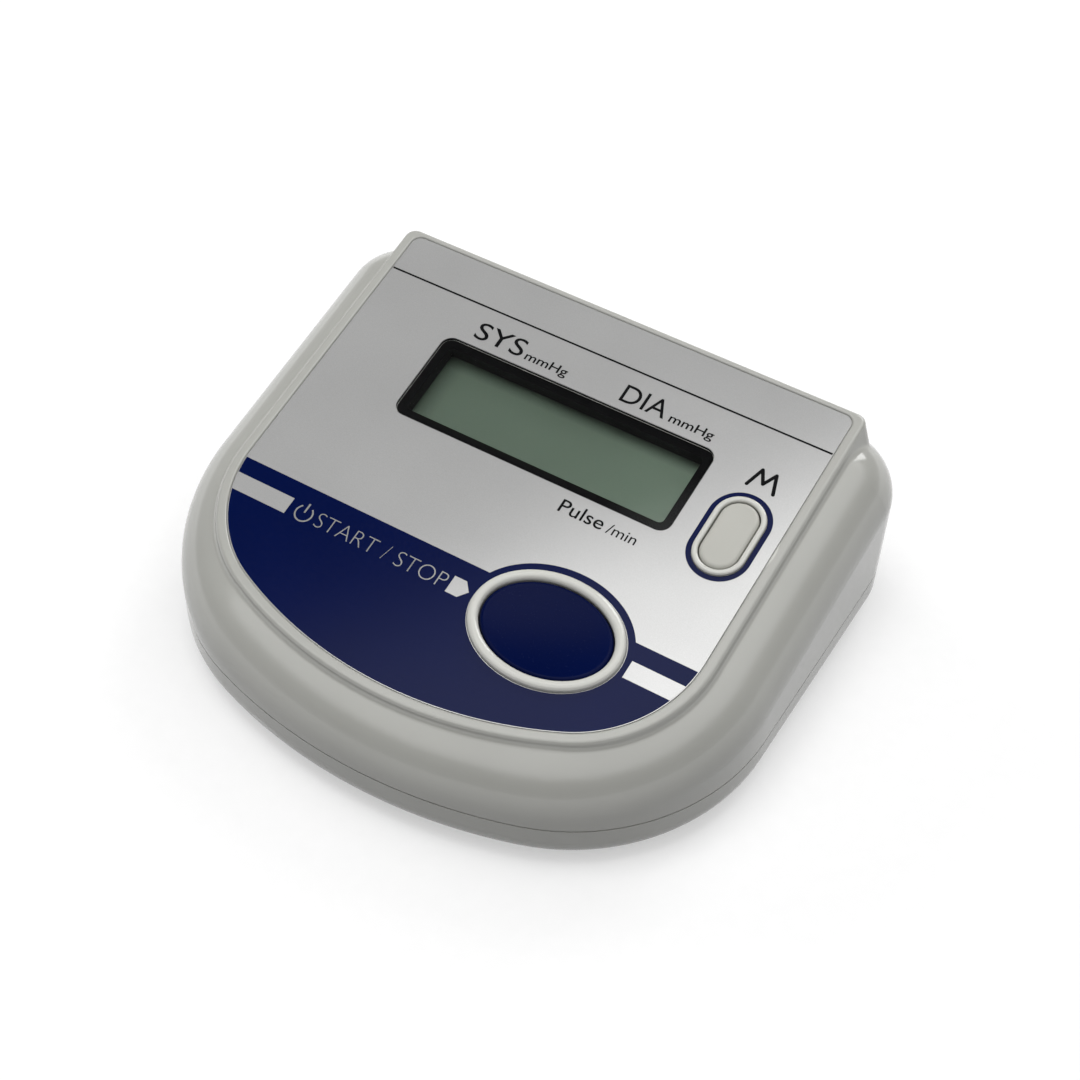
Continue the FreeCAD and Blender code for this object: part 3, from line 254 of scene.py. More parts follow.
class MonitorStage(PropertyGroup):
    """Camera, lamps, room and floor."""

    lens: FloatProperty(
        name="Lens", description="Focal length of the camera, in millimetres", default=67.33)
    side_power: FloatProperty(
        name="Side lamp", description="Power of the lamp on the left", default=2.3, unit="POWER")
    top_power: FloatProperty(
        name="Top lamp", description="Power of the lamp overhead", default=2.5, unit="POWER")
    back_power: FloatProperty(
        name="Back lamp", description="Power of the lamp behind", default=3.5, unit="POWER")
    under_glow: FloatProperty(
        name="Under glow", description="Light of the floor under the case", default=0.60)
    ceiling: FloatProperty(
        name="Ceiling", description="Brightness of the lit part of the ceiling", default=1.25)
    room: FloatProperty(
        name="Room", description="Brightness of the rest of the room", default=0.05)
    horizon: FloatProperty(
        name="Horizon", description="Brightness of the room at eye level", default=0.42)
    floor: FloatVectorProperty(
        name="Floor", description="Pale floor as it lights the object", subtype="COLOR",
        default=(0.16, 0.16, 0.16), min=0.0, max=1.0)
    floor_seen: FloatVectorProperty(
        name="Floor seen", description="Pale floor as it is seen", subtype="COLOR",
        default=(0.50, 0.50, 0.50), min=0.0, max=1.0)
    floor_glow: FloatProperty(
        name="Floor glow", description="Whiteness added to the floor that is seen", default=0.44)


# Surfaces


def on_panel(x, v, height):
    """Place of panel points: x across, v up the slope from the label's rear edge, and a height."""
    x, v, height = np.broadcast_arrays(np.asarray(x, float), np.asarray(v, float),
                                       np.asarray(height, float))
    return (x[..., None] * ACROSS + (LABEL_REAR + v)[..., None] * UP_SLOPE
            + (LABEL_TOP + height)[..., None] * OUT)


def grid_faces(rows, columns, closed):
    """Quads of a grid of rows by columns; in a closed grid the last column joins the first."""
    index = np.arange(rows * columns).reshape(rows, columns)
    after = np.roll(index, -1, axis=1)
    if not closed:
        index, after = index[:, :-1], after[:, :-1]
    return np.stack([index[:-1], after[:-1], after[1:], index[1:]], axis=-1).reshape(-1, 4)


def film(name, material, points, closed=False):
    """A thin printed layer from a grid of points, turned to face out of the panel."""
    rows, columns = points.shape[:2]
    flat = points.reshape(-1, 3)
    faces = grid_faces(rows, columns, closed)
    corner = flat[faces]
    area = np.cross(corner[:, 2] - corner[:, 0], corner[:, 3] - corner[:, 1]) @ OUT
    if area.sum() < 0:
        faces = faces[:, ::-1]
    mesh = bpy.data.meshes.new(name)
    mesh.from_pydata(flat.tolist(), [], faces.tolist())
    mesh.update()
    return add_piece(name, mesh, material)


def add_piece(name, mesh, material):
    """Links a finished mesh as a piece that rides on the housing."""
    piece = bpy.data.objects.new(name, mesh)
    bpy.context.scene.collection.objects.link(piece)
    mesh.materials.append(material)
    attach(piece, "housing")
    return piece


def stadium_ring(width, height, corner):
    """Outline of a rounded rectangle: each quarter is an arc about its own corner's centre."""
    angle = np.linspace(0, 2 * np.pi, RING_POINTS, endpoint=False) + np.pi / RING_POINTS
    side_x = np.where(np.cos(angle) > 0, 1, -1) * (width / 2 - corner)
    side_v = np.where(np.sin(angle) > 0, 1, -1) * (height / 2 - corner)
    return side_x + corner * np.cos(angle), side_v + corner * np.sin(angle)


def stadium_band(outer, inner):
    """Grid of a band between two rounded rectangles, as places across and up the panel."""
    outside, inside = stadium_ring(*outer), stadium_ring(*inner)
    return np.stack([outside[0], inside[0]]), np.stack([outside[1], inside[1]])


def inside_label(p, x, v):
    """Whether panel points lie between the label's sides, in its front arc and its corner arcs."""
    arc_v = -p.label_length + p.front_radius
    corner_x = p.label_half_width - p.corner_radius
    reach = p.front_radius - p.corner_radius
    drop = math.sqrt(reach ** 2 - corner_x ** 2)
    corner_v = arc_v - drop
    beside = np.abs(x) - corner_x
    below = corner_v - v
    in_corner = (beside >= 0) & (below >= 0) & (below * corner_x <= beside * drop)
    past_corner = np.hypot(beside, below) > p.corner_radius
    return ((np.abs(x) <= p.label_half_width) & (np.hypot(x, v - arc_v) <= p.front_radius)
            & ~(in_corner & past_corner))


def furthest_held(held, far, halvings):
    """Furthest distances at which a test holds, by halving the span between inside and outside."""
    inner, outer = np.zeros_like(far), far
    for _ in range(halvings):
        middle = (inner + outer) / 2
        kept = held(middle)
        inner = np.where(kept, middle, inner)
        outer = np.where(kept, outer, middle)
    return inner


def label_edge(p, v):
    """Half width of the label at v."""
    far = np.full_like(v, 2 * p.label_half_width)
    return furthest_held(lambda x: inside_label(p, x, v), far, EDGE_HALVINGS)


# Finishes


def new_finish(name):
    """A material with one Principled shader, and its object coordinates."""
    material = bpy.data.materials.new(name)
    material.use_nodes = True
    tree = material.node_tree
    tree.nodes.clear()
    output = tree.nodes.new("ShaderNodeOutputMaterial")
    shader = tree.nodes.new("ShaderNodeBsdfPrincipled")
    tree.links.new(shader.outputs["BSDF"], output.inputs["Surface"])
    place = tree.nodes.new("ShaderNodeTexCoord").outputs["Object"]
    return material, tree, shader, place


def node_of(tree, kind):
    """The first node of a kind in a tree."""
    return next(node for node in tree.nodes if node.type == kind)


def feed(tree, value, socket):
    """Links the output of a node to a socket, or sets the socket to a plain value."""
    if isinstance(value, bpy.types.NodeSocket):
        tree.links.new(value, socket)
    else:
        socket.default_value = value


def calculated(tree, operation, *values):
    """Result of a Math node on outputs of nodes and plain numbers."""
    node = tree.nodes.new("ShaderNodeMath")
    node.operation = operation
    for value, socket in zip(values, node.inputs):
        feed(tree, value, socket)
    return node.outputs["Value"]


def measured(tree, operation, place, *others):
    """Number that a Vector Math node gives for a place and another vector."""
    node = tree.nodes.new("ShaderNodeVectorMath")
    node.operation = operation
    for value, socket in zip((place, *others), node.inputs):
        feed(tree, value, socket)
    return node.outputs["Value"]


def axes_of(tree, place):
    """The X, Y and Z outputs of a place."""
    node = tree.nodes.new("ShaderNodeSeparateXYZ")
    tree.links.new(place, node.inputs["Vector"])
    return node.outputs


def grain(tree, place, size, detail=2.0, stretch=None):
    """Noise whose blobs are about this size, in metres, and may be stretched along an axis."""
    if stretch is not None:
        mapping = tree.nodes.new("ShaderNodeMapping")
        mapping.inputs["Scale"].default_value = stretch
        tree.links.new(place, mapping.inputs["Vector"])
        place = mapping.outputs["Vector"]
    node = tree.nodes.new("ShaderNodeTexNoise")
    node.inputs["Scale"].default_value = 1.0 / size
    node.inputs["Detail"].default_value = detail
    tree.links.new(place, node.inputs["Vector"])
    return node.outputs["Fac"]


def spread(tree, value, low, high, start=0.3, end=0.7):
    """Maps the part of a value from start to end onto low to high."""
    node = tree.nodes.new("ShaderNodeMapRange")
    node.inputs["From Min"].default_value = start
    node.inputs["From Max"].default_value = end
    node.inputs["To Min"].default_value = low
    node.inputs["To Max"].default_value = high
    tree.links.new(value, node.inputs["Value"])
    return node.outputs["Result"]


def tones(tree, factor, first, second):
    """Blend of two colours, each given as three numbers or as the output of a node."""
    node = tree.nodes.new("ShaderNodeMix")
    node.data_type = "RGBA"
    for colour, socket in ((first, node.inputs[6]), (second, node.inputs[7])):
        linked = isinstance(colour, bpy.types.NodeSocket)
        feed(tree, colour if linked else (*colour, 1.0), socket)
    tree.links.new(factor, node.inputs[0])
    return node.outputs[2]


def relief(tree, shader, height, depth):
    """Bump from a height value, with its depth in metres."""
    node = tree.nodes.new("ShaderNodeBump")
    node.inputs["Distance"].default_value = depth
    tree.links.new(height, node.inputs["Height"])
    tree.links.new(node.outputs["Normal"], shader.inputs["Normal"])


def shade(colour, amount):
    """A colour made lighter or darker by a factor."""
    return tuple(min(1.0, c * amount) for c in colour)


def choose(tree, factor, first, second):
    """Blend of two shaders by a factor."""
    node = tree.nodes.new("ShaderNodeMixShader")
    for value, socket in zip((factor, first, second), node.inputs):
        tree.links.new(value, socket)
    return node.outputs["Shader"]


def show(tree, shader):
    """Makes a shader the surface of a material."""
    tree.links.new(shader, node_of(tree, "OUTPUT_MATERIAL").inputs["Surface"])


def moulded(name, colour, rough, tone=0.06, tone_size=18 * MM, grain_size=0.35 * MM,
            depth=0.004 * MM, metallic=0.0, stretch=None, shine=0.5):
    """A moulded, coated or plated surface: drifting tone, uneven gloss and a fine grain."""
    material, tree, shader, place = new_finish(name)
    drift = spread(tree, grain(tree, place, tone_size, 3.0), 0.0, 1.0)
    tree.links.new(tones(tree, drift, shade(colour, 1 - tone), shade(colour, 1 + tone)),
                   shader.inputs["Base Color"])
    fine = grain(tree, place, grain_size, 2.0, stretch)
    tree.links.new(spread(tree, fine, *rough), shader.inputs["Roughness"])
    relief(tree, shader, fine, depth)
    shader.inputs["Metallic"].default_value = metallic
    shader.inputs["Specular IOR Level"].default_value = shine
    return material


def ringed_moulding(name, colour, rings, **options):
    """Moulded finish, lighter where it stands out of the label within reach of a ring's middle, as
    a painted highlight on a lighter ring plastic.
    """
    material = moulded(name, colour, **options)
    tree = material.node_tree
    shader = node_of(tree, "BSDF_PRINCIPLED")
    place = node_of(tree, "TEX_COORD").outputs["Object"]
    height = measured(tree, "DOT_PRODUCT", place, OUT.tolist())
    above = spread(tree, height, 0.0, 1.0, LABEL_TOP - RING_FOOT, LABEL_TOP)
    lit = shader.inputs["Base Color"].links[0].from_socket
    for middle, reach in rings:
        gap = measured(tree, "DISTANCE", place, middle.tolist())
        near = spread(tree, gap, 1.0, 0.0, reach, reach + RING_FADE)
        ring = calculated(tree, "MULTIPLY", above, near)
        # Lighter ring colour: partly the ring's lighter plastic, partly a painted highlight
        lit = tones(tree, ring, lit, shade(colour, RING_TONE_AND_HIGHLIGHT))
    tree.links.new(lit, shader.inputs["Base Color"])
    return material


def flaked_film(name, colour):
    """Silver film: tiny bright flakes in a satin coat over a slowly drifting tone."""
    material, tree, shader, place = new_finish(name)
    flakes = grain(tree, place, 0.16 * MM, 1.0)
    drift = spread(tree, grain(tree, place, 25 * MM, 2.0), 0.0, 0.25)
    joined = calculated(tree, "MULTIPLY_ADD", flakes, 0.75, drift)
    factor = spread(tree, joined, 0.0, 1.0, 0.25, 0.75)
    tree.links.new(tones(tree, factor, shade(colour, 0.92), shade(colour, 1.06)),
                   shader.inputs["Base Color"])
    tree.links.new(spread(tree, flakes, 0.10, 0.16), shader.inputs["Roughness"])
    relief(tree, shader, flakes, 0.0015 * MM)
    shader.inputs["Metallic"].default_value = 0.57
    return material


def clear_pane(name):
    """Clear window with faint smudges: glass to the eye, and open to the light that falls in."""
    material, tree, shader, place = new_finish(name)
    shader.inputs["Base Color"].default_value = (0.93, 0.95, 0.94, 1.0)
    shader.inputs["Transmission Weight"].default_value = 1.0
    shader.inputs["IOR"].default_value = 1.49
    shader.inputs["Specular IOR Level"].default_value = 0.2
    smudge = grain(tree, place, 9 * MM, 3.0)
    tree.links.new(spread(tree, smudge, 0.0, 0.03), shader.inputs["Roughness"])
    open_way = tree.nodes.new("ShaderNodeBsdfTransparent")
    light = tree.nodes.new("ShaderNodeLightPath")
    show(tree, choose(tree, light.outputs["Is Shadow Ray"], shader.outputs["BSDF"],
                      open_way.outputs["BSDF"]))
    return material


def display_cell(name, colour, left, rear):
    """Blank display: a reflective weave, a slow change of tone, and a painted shadow of the frame
    along its rear and left edges.
    """
    material, tree, shader, place = new_finish(name)
    weave = grain(tree, place, 0.10 * MM, 1.0)
    drift = spread(tree, grain(tree, place, 22 * MM, 1.0), 0.0, 0.5)
    joined = calculated(tree, "MULTIPLY_ADD", weave, 0.5, drift)
    axes = axes_of(tree, place)
    # Painted shadow of the frame: the colour darkens towards the rear and left edges of the display
    rear_painted_shadow = spread(tree, axes["Y"], 0.0, 1.0, rear + 1.0 * MM, rear - 2.6 * MM)
    left_painted_shadow = spread(tree, axes["X"], 0.45, 1.0, left, left + 4.0 * MM)
    dim = calculated(tree, "MULTIPLY", rear_painted_shadow, left_painted_shadow)
    lit = tones(tree, joined, shade(colour, 0.90), shade(colour, 1.08))
    tree.links.new(tones(tree, dim, shade(colour, 0.12), lit), shader.inputs["Base Color"])
    tree.links.new(spread(tree, weave, 0.30, 0.38), shader.inputs["Roughness"])
    relief(tree, shader, weave, 0.001 * MM)
    shader.inputs["Metallic"].default_value = 0.6
    return material


def printed_jacket(name, plus_end, towards):
    """Cell jacket: bare ends, a warm band next to the plus end, a bright line, and a dark body."""
    material, tree, shader, place = new_finish(name)
    along = spread(tree, axes_of(tree, place)["Y"], 0.0, 1.0, plus_end,
                   plus_end + towards * CELL_LENGTH)
    ramp = tree.nodes.new("ShaderNodeValToRGB")
    ramp.color_ramp.interpolation = "CONSTANT"
    while len(ramp.color_ramp.elements) < len(CELL_STOPS):
        ramp.color_ramp.elements.new(1.0)
    for element, (position, colour) in zip(ramp.color_ramp.elements, CELL_STOPS):
        element.position = position
        element.color = (*colour, 1.0)
    tree.links.new(along, ramp.inputs["Fac"])
    tree.links.new(ramp.outputs["Color"], shader.inputs["Base Color"])
    fine = grain(tree, place, 0.3 * MM)
    tree.links.new(spread(tree, fine, 0.22, 0.34), shader.inputs["Roughness"])
    relief(tree, shader, fine, 0.004 * MM)
    shader.inputs["Metallic"].default_value = 0.6
    return material


def solder_mask(name):
    """Green board: a fine net of tracks under the mask, and a slight unevenness of the lacquer."""
    material, tree, shader, place = new_finish(name)
    tracks = tree.nodes.new("ShaderNodeTexBrick")
    tracks.inputs["Scale"].default_value = 1.0 / (6 * MM)
    tracks.inputs["Mortar Size"].default_value = 0.035
    tracks.inputs["Color1"].default_value = (0.010, 0.085, 0.030, 1.0)
    tracks.inputs["Color2"].default_value = (0.012, 0.100, 0.036, 1.0)
    tracks.inputs["Mortar"].default_value = (0.030, 0.190, 0.070, 1.0)
    tree.links.new(place, tracks.inputs["Vector"])
    tree.links.new(tracks.outputs["Color"], shader.inputs["Base Color"])
    lacquer = grain(tree, place, 1.2 * MM)
    tree.links.new(spread(tree, lacquer, 0.22, 0.36), shader.inputs["Roughness"])
    relief(tree, shader, lacquer, 0.01 * MM)
    return material


def floor_paper(name, s):
    """Pale paper: it glows a little where it is seen and under the case, and is open from below."""
    material, tree, shader, place = new_finish(name)
    seen = tree.nodes.new("ShaderNodeBsdfPrincipled")
    fibre = spread(tree, grain(tree, place, 3 * MM), 0.0, 1.0)
    patch = tree.nodes.new("ShaderNodeAttribute")
    patch.attribute_name = "covered"
    under = spread(tree, patch.outputs["Fac"], 0.0, s.under_glow, 0.0, 1.0)
    distance = measured(tree, "LENGTH", place)
    around = spread(tree, distance, s.floor_glow, FLOOR_FAR_GLOW, *FLOOR_GLOW_SPAN)
    for paper, colour, shine, glow in ((shader, s.floor, 0.1, under),
                                       (seen, s.floor_seen, 0.0, around)):
        tree.links.new(tones(tree, fibre, shade(colour, 0.99), shade(colour, 1.01)),
                       paper.inputs["Base Color"])
        paper.inputs["Roughness"].default_value = 0.9
        paper.inputs["Specular IOR Level"].default_value = shine
        paper.inputs["Emission Color"].default_value = (1.0, 1.0, 1.0, 1.0)
        tree.links.new(glow, paper.inputs["Emission Strength"])
    light = tree.nodes.new("ShaderNodeLightPath").outputs
    either = calculated(tree, "MAXIMUM", light["Is Camera Ray"], light["Is Glossy Ray"])
    any_seen = calculated(tree, "MAXIMUM", either, light["Is Transmission Ray"])
    above = choose(tree, any_seen, shader.outputs["BSDF"], seen.outputs["BSDF"])
    below = tree.nodes.new("ShaderNodeBsdfTransparent")
    side = tree.nodes.new("ShaderNodeNewGeometry")
    show(tree, choose(tree, side.outputs["Backfacing"], above, below.outputs["BSDF"]))
    return material


FINISHES = {}


def finish_named(key, maker, *values, **options):
    """Makes a finish once and keeps it for the pieces that share it."""
    if key not in FINISHES:
        FINISHES[key] = maker(key, *values, **options)
    return FINISHES[key]


def black_ink(c):
    """Matt black ink of the words and lines."""
    return finish_named("black_ink", moulded, shade(c.black, 0.5), (0.5, 0.65), tone=0.2,
                        tone_size=6 * MM, grain_size=0.3 * MM, depth=0.001 * MM, shine=0.08)


def navy_ink(c):
    """Glossy navy ink of the dark field and of the line round the memory button."""
    return finish_named("navy_ink", moulded, c.navy, (0.10, 0.16), tone=0.06,
                        tone_size=20 * MM, grain_size=0.4 * MM, depth=0.0004 * MM, shine=0.22)


def silver_film(c):
    """Silver film of the label, the stripes and the arrow."""
    return finish_named("silver_film", flaked_film, c.label)


def dim_film(c):
    """Dimmer silver of the fine marks on the dark field."""
    return finish_named("dim_film", flaked_film, shade(c.label, DIM_TONE))


def dress(names, material):
    """Puts a finish on CAD nodes."""
    for name in names:
        node = frame["nodes"][name]
        if not node.material_slots:
            node.data.materials.append(material)
        for slot in node.material_slots:
            slot.material = material


def dress_moulded(rows):
    """Puts moulded finishes on CAD nodes, from rows of nodes, name, colour, gloss and options."""
    for names, key, colour, rough, options in rows:
        dress(names, finish_named(key, moulded, colour, rough, **options))


# Operators


class MONITOR_OT_case(Operator):
    """Dresses the mouldings, the buttons, the feet and the screws"""

    bl_idname = "monitor.case"
    bl_label = "Case and buttons"

    def execute(self, context):
        c = context.scene.monitor_colours
        p = context.scene.monitor_print
        # Rings where the case is painted lighter: partly lighter ring plastic, partly painted
        # highlight
        rings = [(on_panel(p.start_x, -p.start_drop, 0.0), p.start_ring_width / 2 + RING_MARGIN),
                 (on_panel(p.memory_x, -p.memory_drop, 0.0), MEMORY_REACH)]
        dress(["upper_case", "lower_case", "battery_cover"],
              finish_named("case_moulding", ringed_moulding, c.case, rings, rough=(0.10, 0.16),
                           tone=0.02, grain_size=0.9 * MM, depth=0.0008 * MM, shine=0.8))
        dress_moulded((
            (["start_button"], "start_cap", shade(c.navy, 0.85), (0.20, 0.28),
             dict(tone=0.08, depth=0.0006 * MM, shine=0.08)),
            (["memory_button"], "memory_cap", c.grey, (0.34, 0.44), dict(tone=0.03)),
            (["air_socket"], "socket_moulding", shade(c.black, 1.6), (0.32, 0.46), dict(tone=0.2)),
            (["rubber_feet", "lcd_connector_strip"], "soft_rubber", (0.035, 0.035, 0.036),
             (0.62, 0.80), dict(tone=0.2, tone_size=5 * MM, grain_size=0.25 * MM, depth=0.02 * MM)),
            (["case_screws", "board_screws"], "plated_screw", (0.55, 0.54, 0.52), (0.24, 0.40),
             dict(tone=0.08, tone_size=2 * MM, grain_size=0.2 * MM, metallic=1.0)),
        ))
        return {"FINISHED"}


class MONITOR_OT_display(Operator):
    """Dresses the label, the window and the display, and adds the border under the window

    The border is the band between two rounded rectangles, laid just inside the window's rear face
    """

    bl_idname = "monitor.display"
    bl_label = "Label and display"

    def execute(self, context):
        c = context.scene.monitor_colours
        p = context.scene.monitor_print
        dress(["front_label"], silver_film(c))
        dress(["display_window"], finish_named("clear_pane", clear_pane))
        seen_width = p.window_width - 2 * p.window_border
        seen_height = p.window_height - 2 * p.window_border
        # Left and rear edges of the seen display, where the painted shadow of the frame starts
        left = -p.window_width / 2 + p.window_border
        rear_v = LABEL_REAR - p.window_drop + p.window_height / 2 - p.window_border
        glass_top = (node_points("lcd_front_glass") @ OUT).max()
        rear = rear_v * float(UP_SLOPE[1]) + float(glass_top * OUT[1])
        dress(["lcd_front_glass"],
              finish_named("display_cell", display_cell, c.display, left, rear))
        dress(["lcd_rear_glass"],
              finish_named("display_rear", display_cell, shade(c.display, 0.7), left, rear))
        dress_moulded((
            (["display_frame"], "frame_moulding", shade(c.black, 0.5), (0.55, 0.7),
             dict(tone=0.2, grain_size=0.25 * MM, depth=0.002 * MM, shine=0.12)),
        ))
        ink = finish_named("border_ink", moulded, shade(c.black, 0.4), (0.6, 0.8), tone=0.15,
                           tone_size=6 * MM, grain_size=0.2 * MM, depth=0.001 * MM, shine=0.05)
        under = float((node_points("display_window") @ OUT).min()) - LABEL_TOP
        ring_x, ring_v = stadium_band((p.window_width, p.window_height, WINDOW_CORNER),
                                      (seen_width, seen_height, SEEN_CORNER))
        film("display_border", ink,
             on_panel(ring_x, ring_v - p.window_drop, under + BORDER_GAP), True)
        return {"FINISHED"}


class MONITOR_OT_inside(Operator):
    """Dresses the board, the air circuit and the battery bay"""

    bl_idname = "monitor.inside"
    bl_label = "Parts inside"

    def execute(self, context):
        black = context.scene.monitor_colours.black
        dress(["main_board"], finish_named("solder_mask", solder_mask))
        dress_moulded((
            (["start_switch_body", "memory_switch_body", "controller_chip", "buzzer"],
             "black_package", shade(black, 1.8), (0.40, 0.58),
             dict(tone=0.2, tone_size=4 * MM, grain_size=0.2 * MM, depth=0.01 * MM)),
            (["start_switch_plunger", "memory_switch_plunger"],
             "switch_plunger", (0.30, 0.29, 0.27), (0.34, 0.46), dict(tone_size=2 * MM)),
            (["pressure_sensor", "pump_head", "air_manifold"],
             "pale_nylon", (0.68, 0.66, 0.60), (0.36, 0.50), dict(tone=0.04, tone_size=8 * MM)),
            (["pump_motor", "release_valve"],
             "drawn_steel", (0.50, 0.50, 0.51), (0.22, 0.42),
             dict(tone=0.08, tone_size=6 * MM, grain_size=0.4 * MM, depth=0.006 * MM,
                  metallic=1.0, stretch=(1.0, 0.08, 1.0))),
            (["pump_sleeve", "lcd_backing_pad"],
             "open_foam", (0.045, 0.045, 0.048), (0.8, 0.95),
             dict(tone=0.5, tone_size=0.9 * MM, grain_size=0.5 * MM, depth=0.25 * MM)),
            (["pump_tube", "socket_tube", "sensor_tube"],
             "silicone_tube", (0.62, 0.62, 0.57), (0.30, 0.42),
             dict(tone=0.05, tone_size=6 * MM, grain_size=0.6 * MM, depth=0.01 * MM)),
            (["battery_springs", "rear_contact_plates", "front_contact_plates"],
             "nickel_plate", (0.66, 0.64, 0.58), (0.16, 0.30),
             dict(tone=0.05, tone_size=3 * MM, grain_size=0.3 * MM, depth=0.003 * MM,
                  metallic=1.0)),
        ))
        for number in range(1, CELL_COUNT + 1):
            self.dress_cell("battery_cell_%d" % number)
        return {"FINISHED"}

    def dress_cell(self, name):
        """Puts a jacket on a cell, turned by its narrower end, which is plus."""
        points = node_points(name)
        y = points[:, 1]
        middle = (points.min(axis=0) + points.max(axis=0)) / 2
        radius = np.hypot(points[:, 0] - middle[0], points[:, 2] - middle[2])
        rear_radius = radius[y > y.max() - CELL_END].max()
        front_radius = radius[y < y.min() + CELL_END].max()
        if rear_radius < front_radius:
            jacket = finish_named("jacket_plus_rear", printed_jacket, float(y.max()), -1.0)
        else:
            jacket = finish_named("jacket_plus_front", printed_jacket, float(y.min()), 1.0)
        dress([name], jacket)


class MONITOR_OT_dark_field(Operator):
    """Prints the dark field at the front of the label, with its margin round the start button

    Rays from the start button's middle run from the ring's ellipse to the further of the margin's
    ellipse and the field, which is the label cut off by a straight line
    """

    bl_idname = "monitor.dark_field"
    bl_label = "Dark field"

    def execute(self, context):
        p = context.scene.monitor_print
        half_x = p.start_ring_width / 2
        half_v = p.start_ring_height / 2
        wide_x = half_x + p.start_margin
        wide_v = half_v + p.start_margin
        centre_v = -p.start_drop
        rise = p.start_drop - p.field_drop
        # Rays also go to the corners of the outline, where the field meets the label and the margin
        edge = float(label_edge(p, np.array([-p.field_drop]))[0])
        reach = wide_x * math.sqrt(1 - (rise / wide_v) ** 2)
        corner_x = np.array([edge - p.start_x, reach, -reach, -edge - p.start_x])
        turn = np.linspace(-np.pi, np.pi, FIELD_RAYS, endpoint=False)
        angle = np.unique(np.concatenate([turn, np.arctan2(rise, corner_x)]))
        ray_x, ray_v = np.cos(angle), np.sin(angle)

        def in_field(distance):
            """Whether the points at these distances along the rays lie in the field."""
            x, v = p.start_x + distance * ray_x, centre_v + distance * ray_v
            return inside_label(p, x, v) & (v <= -p.field_drop + FIELD_SLACK)

        start = 1 / np.hypot(ray_x / half_x, ray_v / half_v)
        margin = 1 / np.hypot(ray_x / wide_x, ray_v / wide_v)
        far = np.full_like(angle, 3 * p.label_half_width)
        field = furthest_held(in_field, far, FIELD_HALVINGS)
        radius = np.stack([start, np.maximum(margin, field)])
        film("dark_field", navy_ink(context.scene.monitor_colours),
             on_panel(p.start_x + radius * ray_x, centre_v + radius * ray_v, p.ink_height), True)
        return {"FINISHED"}


class MONITOR_OT_bright_marks(Operator):
    """Prints the bright stripes, the arrow and the on-off sign on the dark field

    Stripes and arrow are bands from a left to a right end at each height, the arrow's right end
    coming to a point half way up; the sign is an open ring between two radii, with a bar in its gap
    """

    bl_idname = "monitor.bright_marks"
    bl_label = "Bright marks"

    def execute(self, context):
        p = context.scene.monitor_print
        silver = silver_film(context.scene.monitor_colours)
        dim = dim_film(context.scene.monitor_colours)
        height = 2 * p.ink_height
        down = np.linspace(0, 1, STRIPE_POINTS)
        v = -p.stripe_drop - p.stripe_height * down
        edge = label_edge(p, v)
        tip = ARROW_TIP - ARROW_POINT * np.abs(2 * down - 1)
        for name, left, right in (("stripe_left", -edge, STRIPE_LEFT_END),
                                  ("stripe_right", STRIPE_RIGHT_START, edge),
                                  ("start_arrow", ARROW_LEFT, tip)):
            ends = np.stack(np.broadcast_arrays(left, right))
            film(name, silver, on_panel(ends, np.stack([v, v]), height))
        sign_v = -p.stripe_drop - p.stripe_height / 2 - SIGN_DROP
        turn = np.radians(np.linspace(90 + SIGN_GAP, 450 - SIGN_GAP, SIGN_POINTS))
        radius = np.array(SIGN_RADII)[:, None]
        film("power_ring", dim,
             on_panel(SIGN_X + radius * np.cos(turn), sign_v + radius * np.sin(turn), height))
        bar_x = np.array([[-BAR_HALF], [BAR_HALF]])
        film("power_bar", dim,
             on_panel(SIGN_X + bar_x, sign_v + np.array([BAR_ENDS]), height))
        return {"FINISHED"}


class MONITOR_OT_print_lines(Operator):
    """Prints the cross line and the line round the memory button

    The first is a straight band; the second is the band between two rounded rectangles
    """

    bl_idname = "monitor.print_lines"
    bl_label = "Printed lines"

    def execute(self, context):
        p = context.scene.monitor_print
        c = context.scene.monitor_colours
        x = np.linspace(-p.label_half_width, p.label_half_width, LINE_POINTS)
        v = -p.line_drop + np.array([[0.5], [-0.5]]) * p.line_width
        film("cross_line", black_ink(c), on_panel(x[None, :], v, p.ink_height))
        ring_x, ring_v = stadium_band(MEMORY_LINE_OUTER, MEMORY_LINE_INNER)
        film("memory_line", navy_ink(c),
             on_panel(p.memory_x + ring_x, ring_v - p.memory_drop, p.ink_height), True)
        return {"FINISHED"}


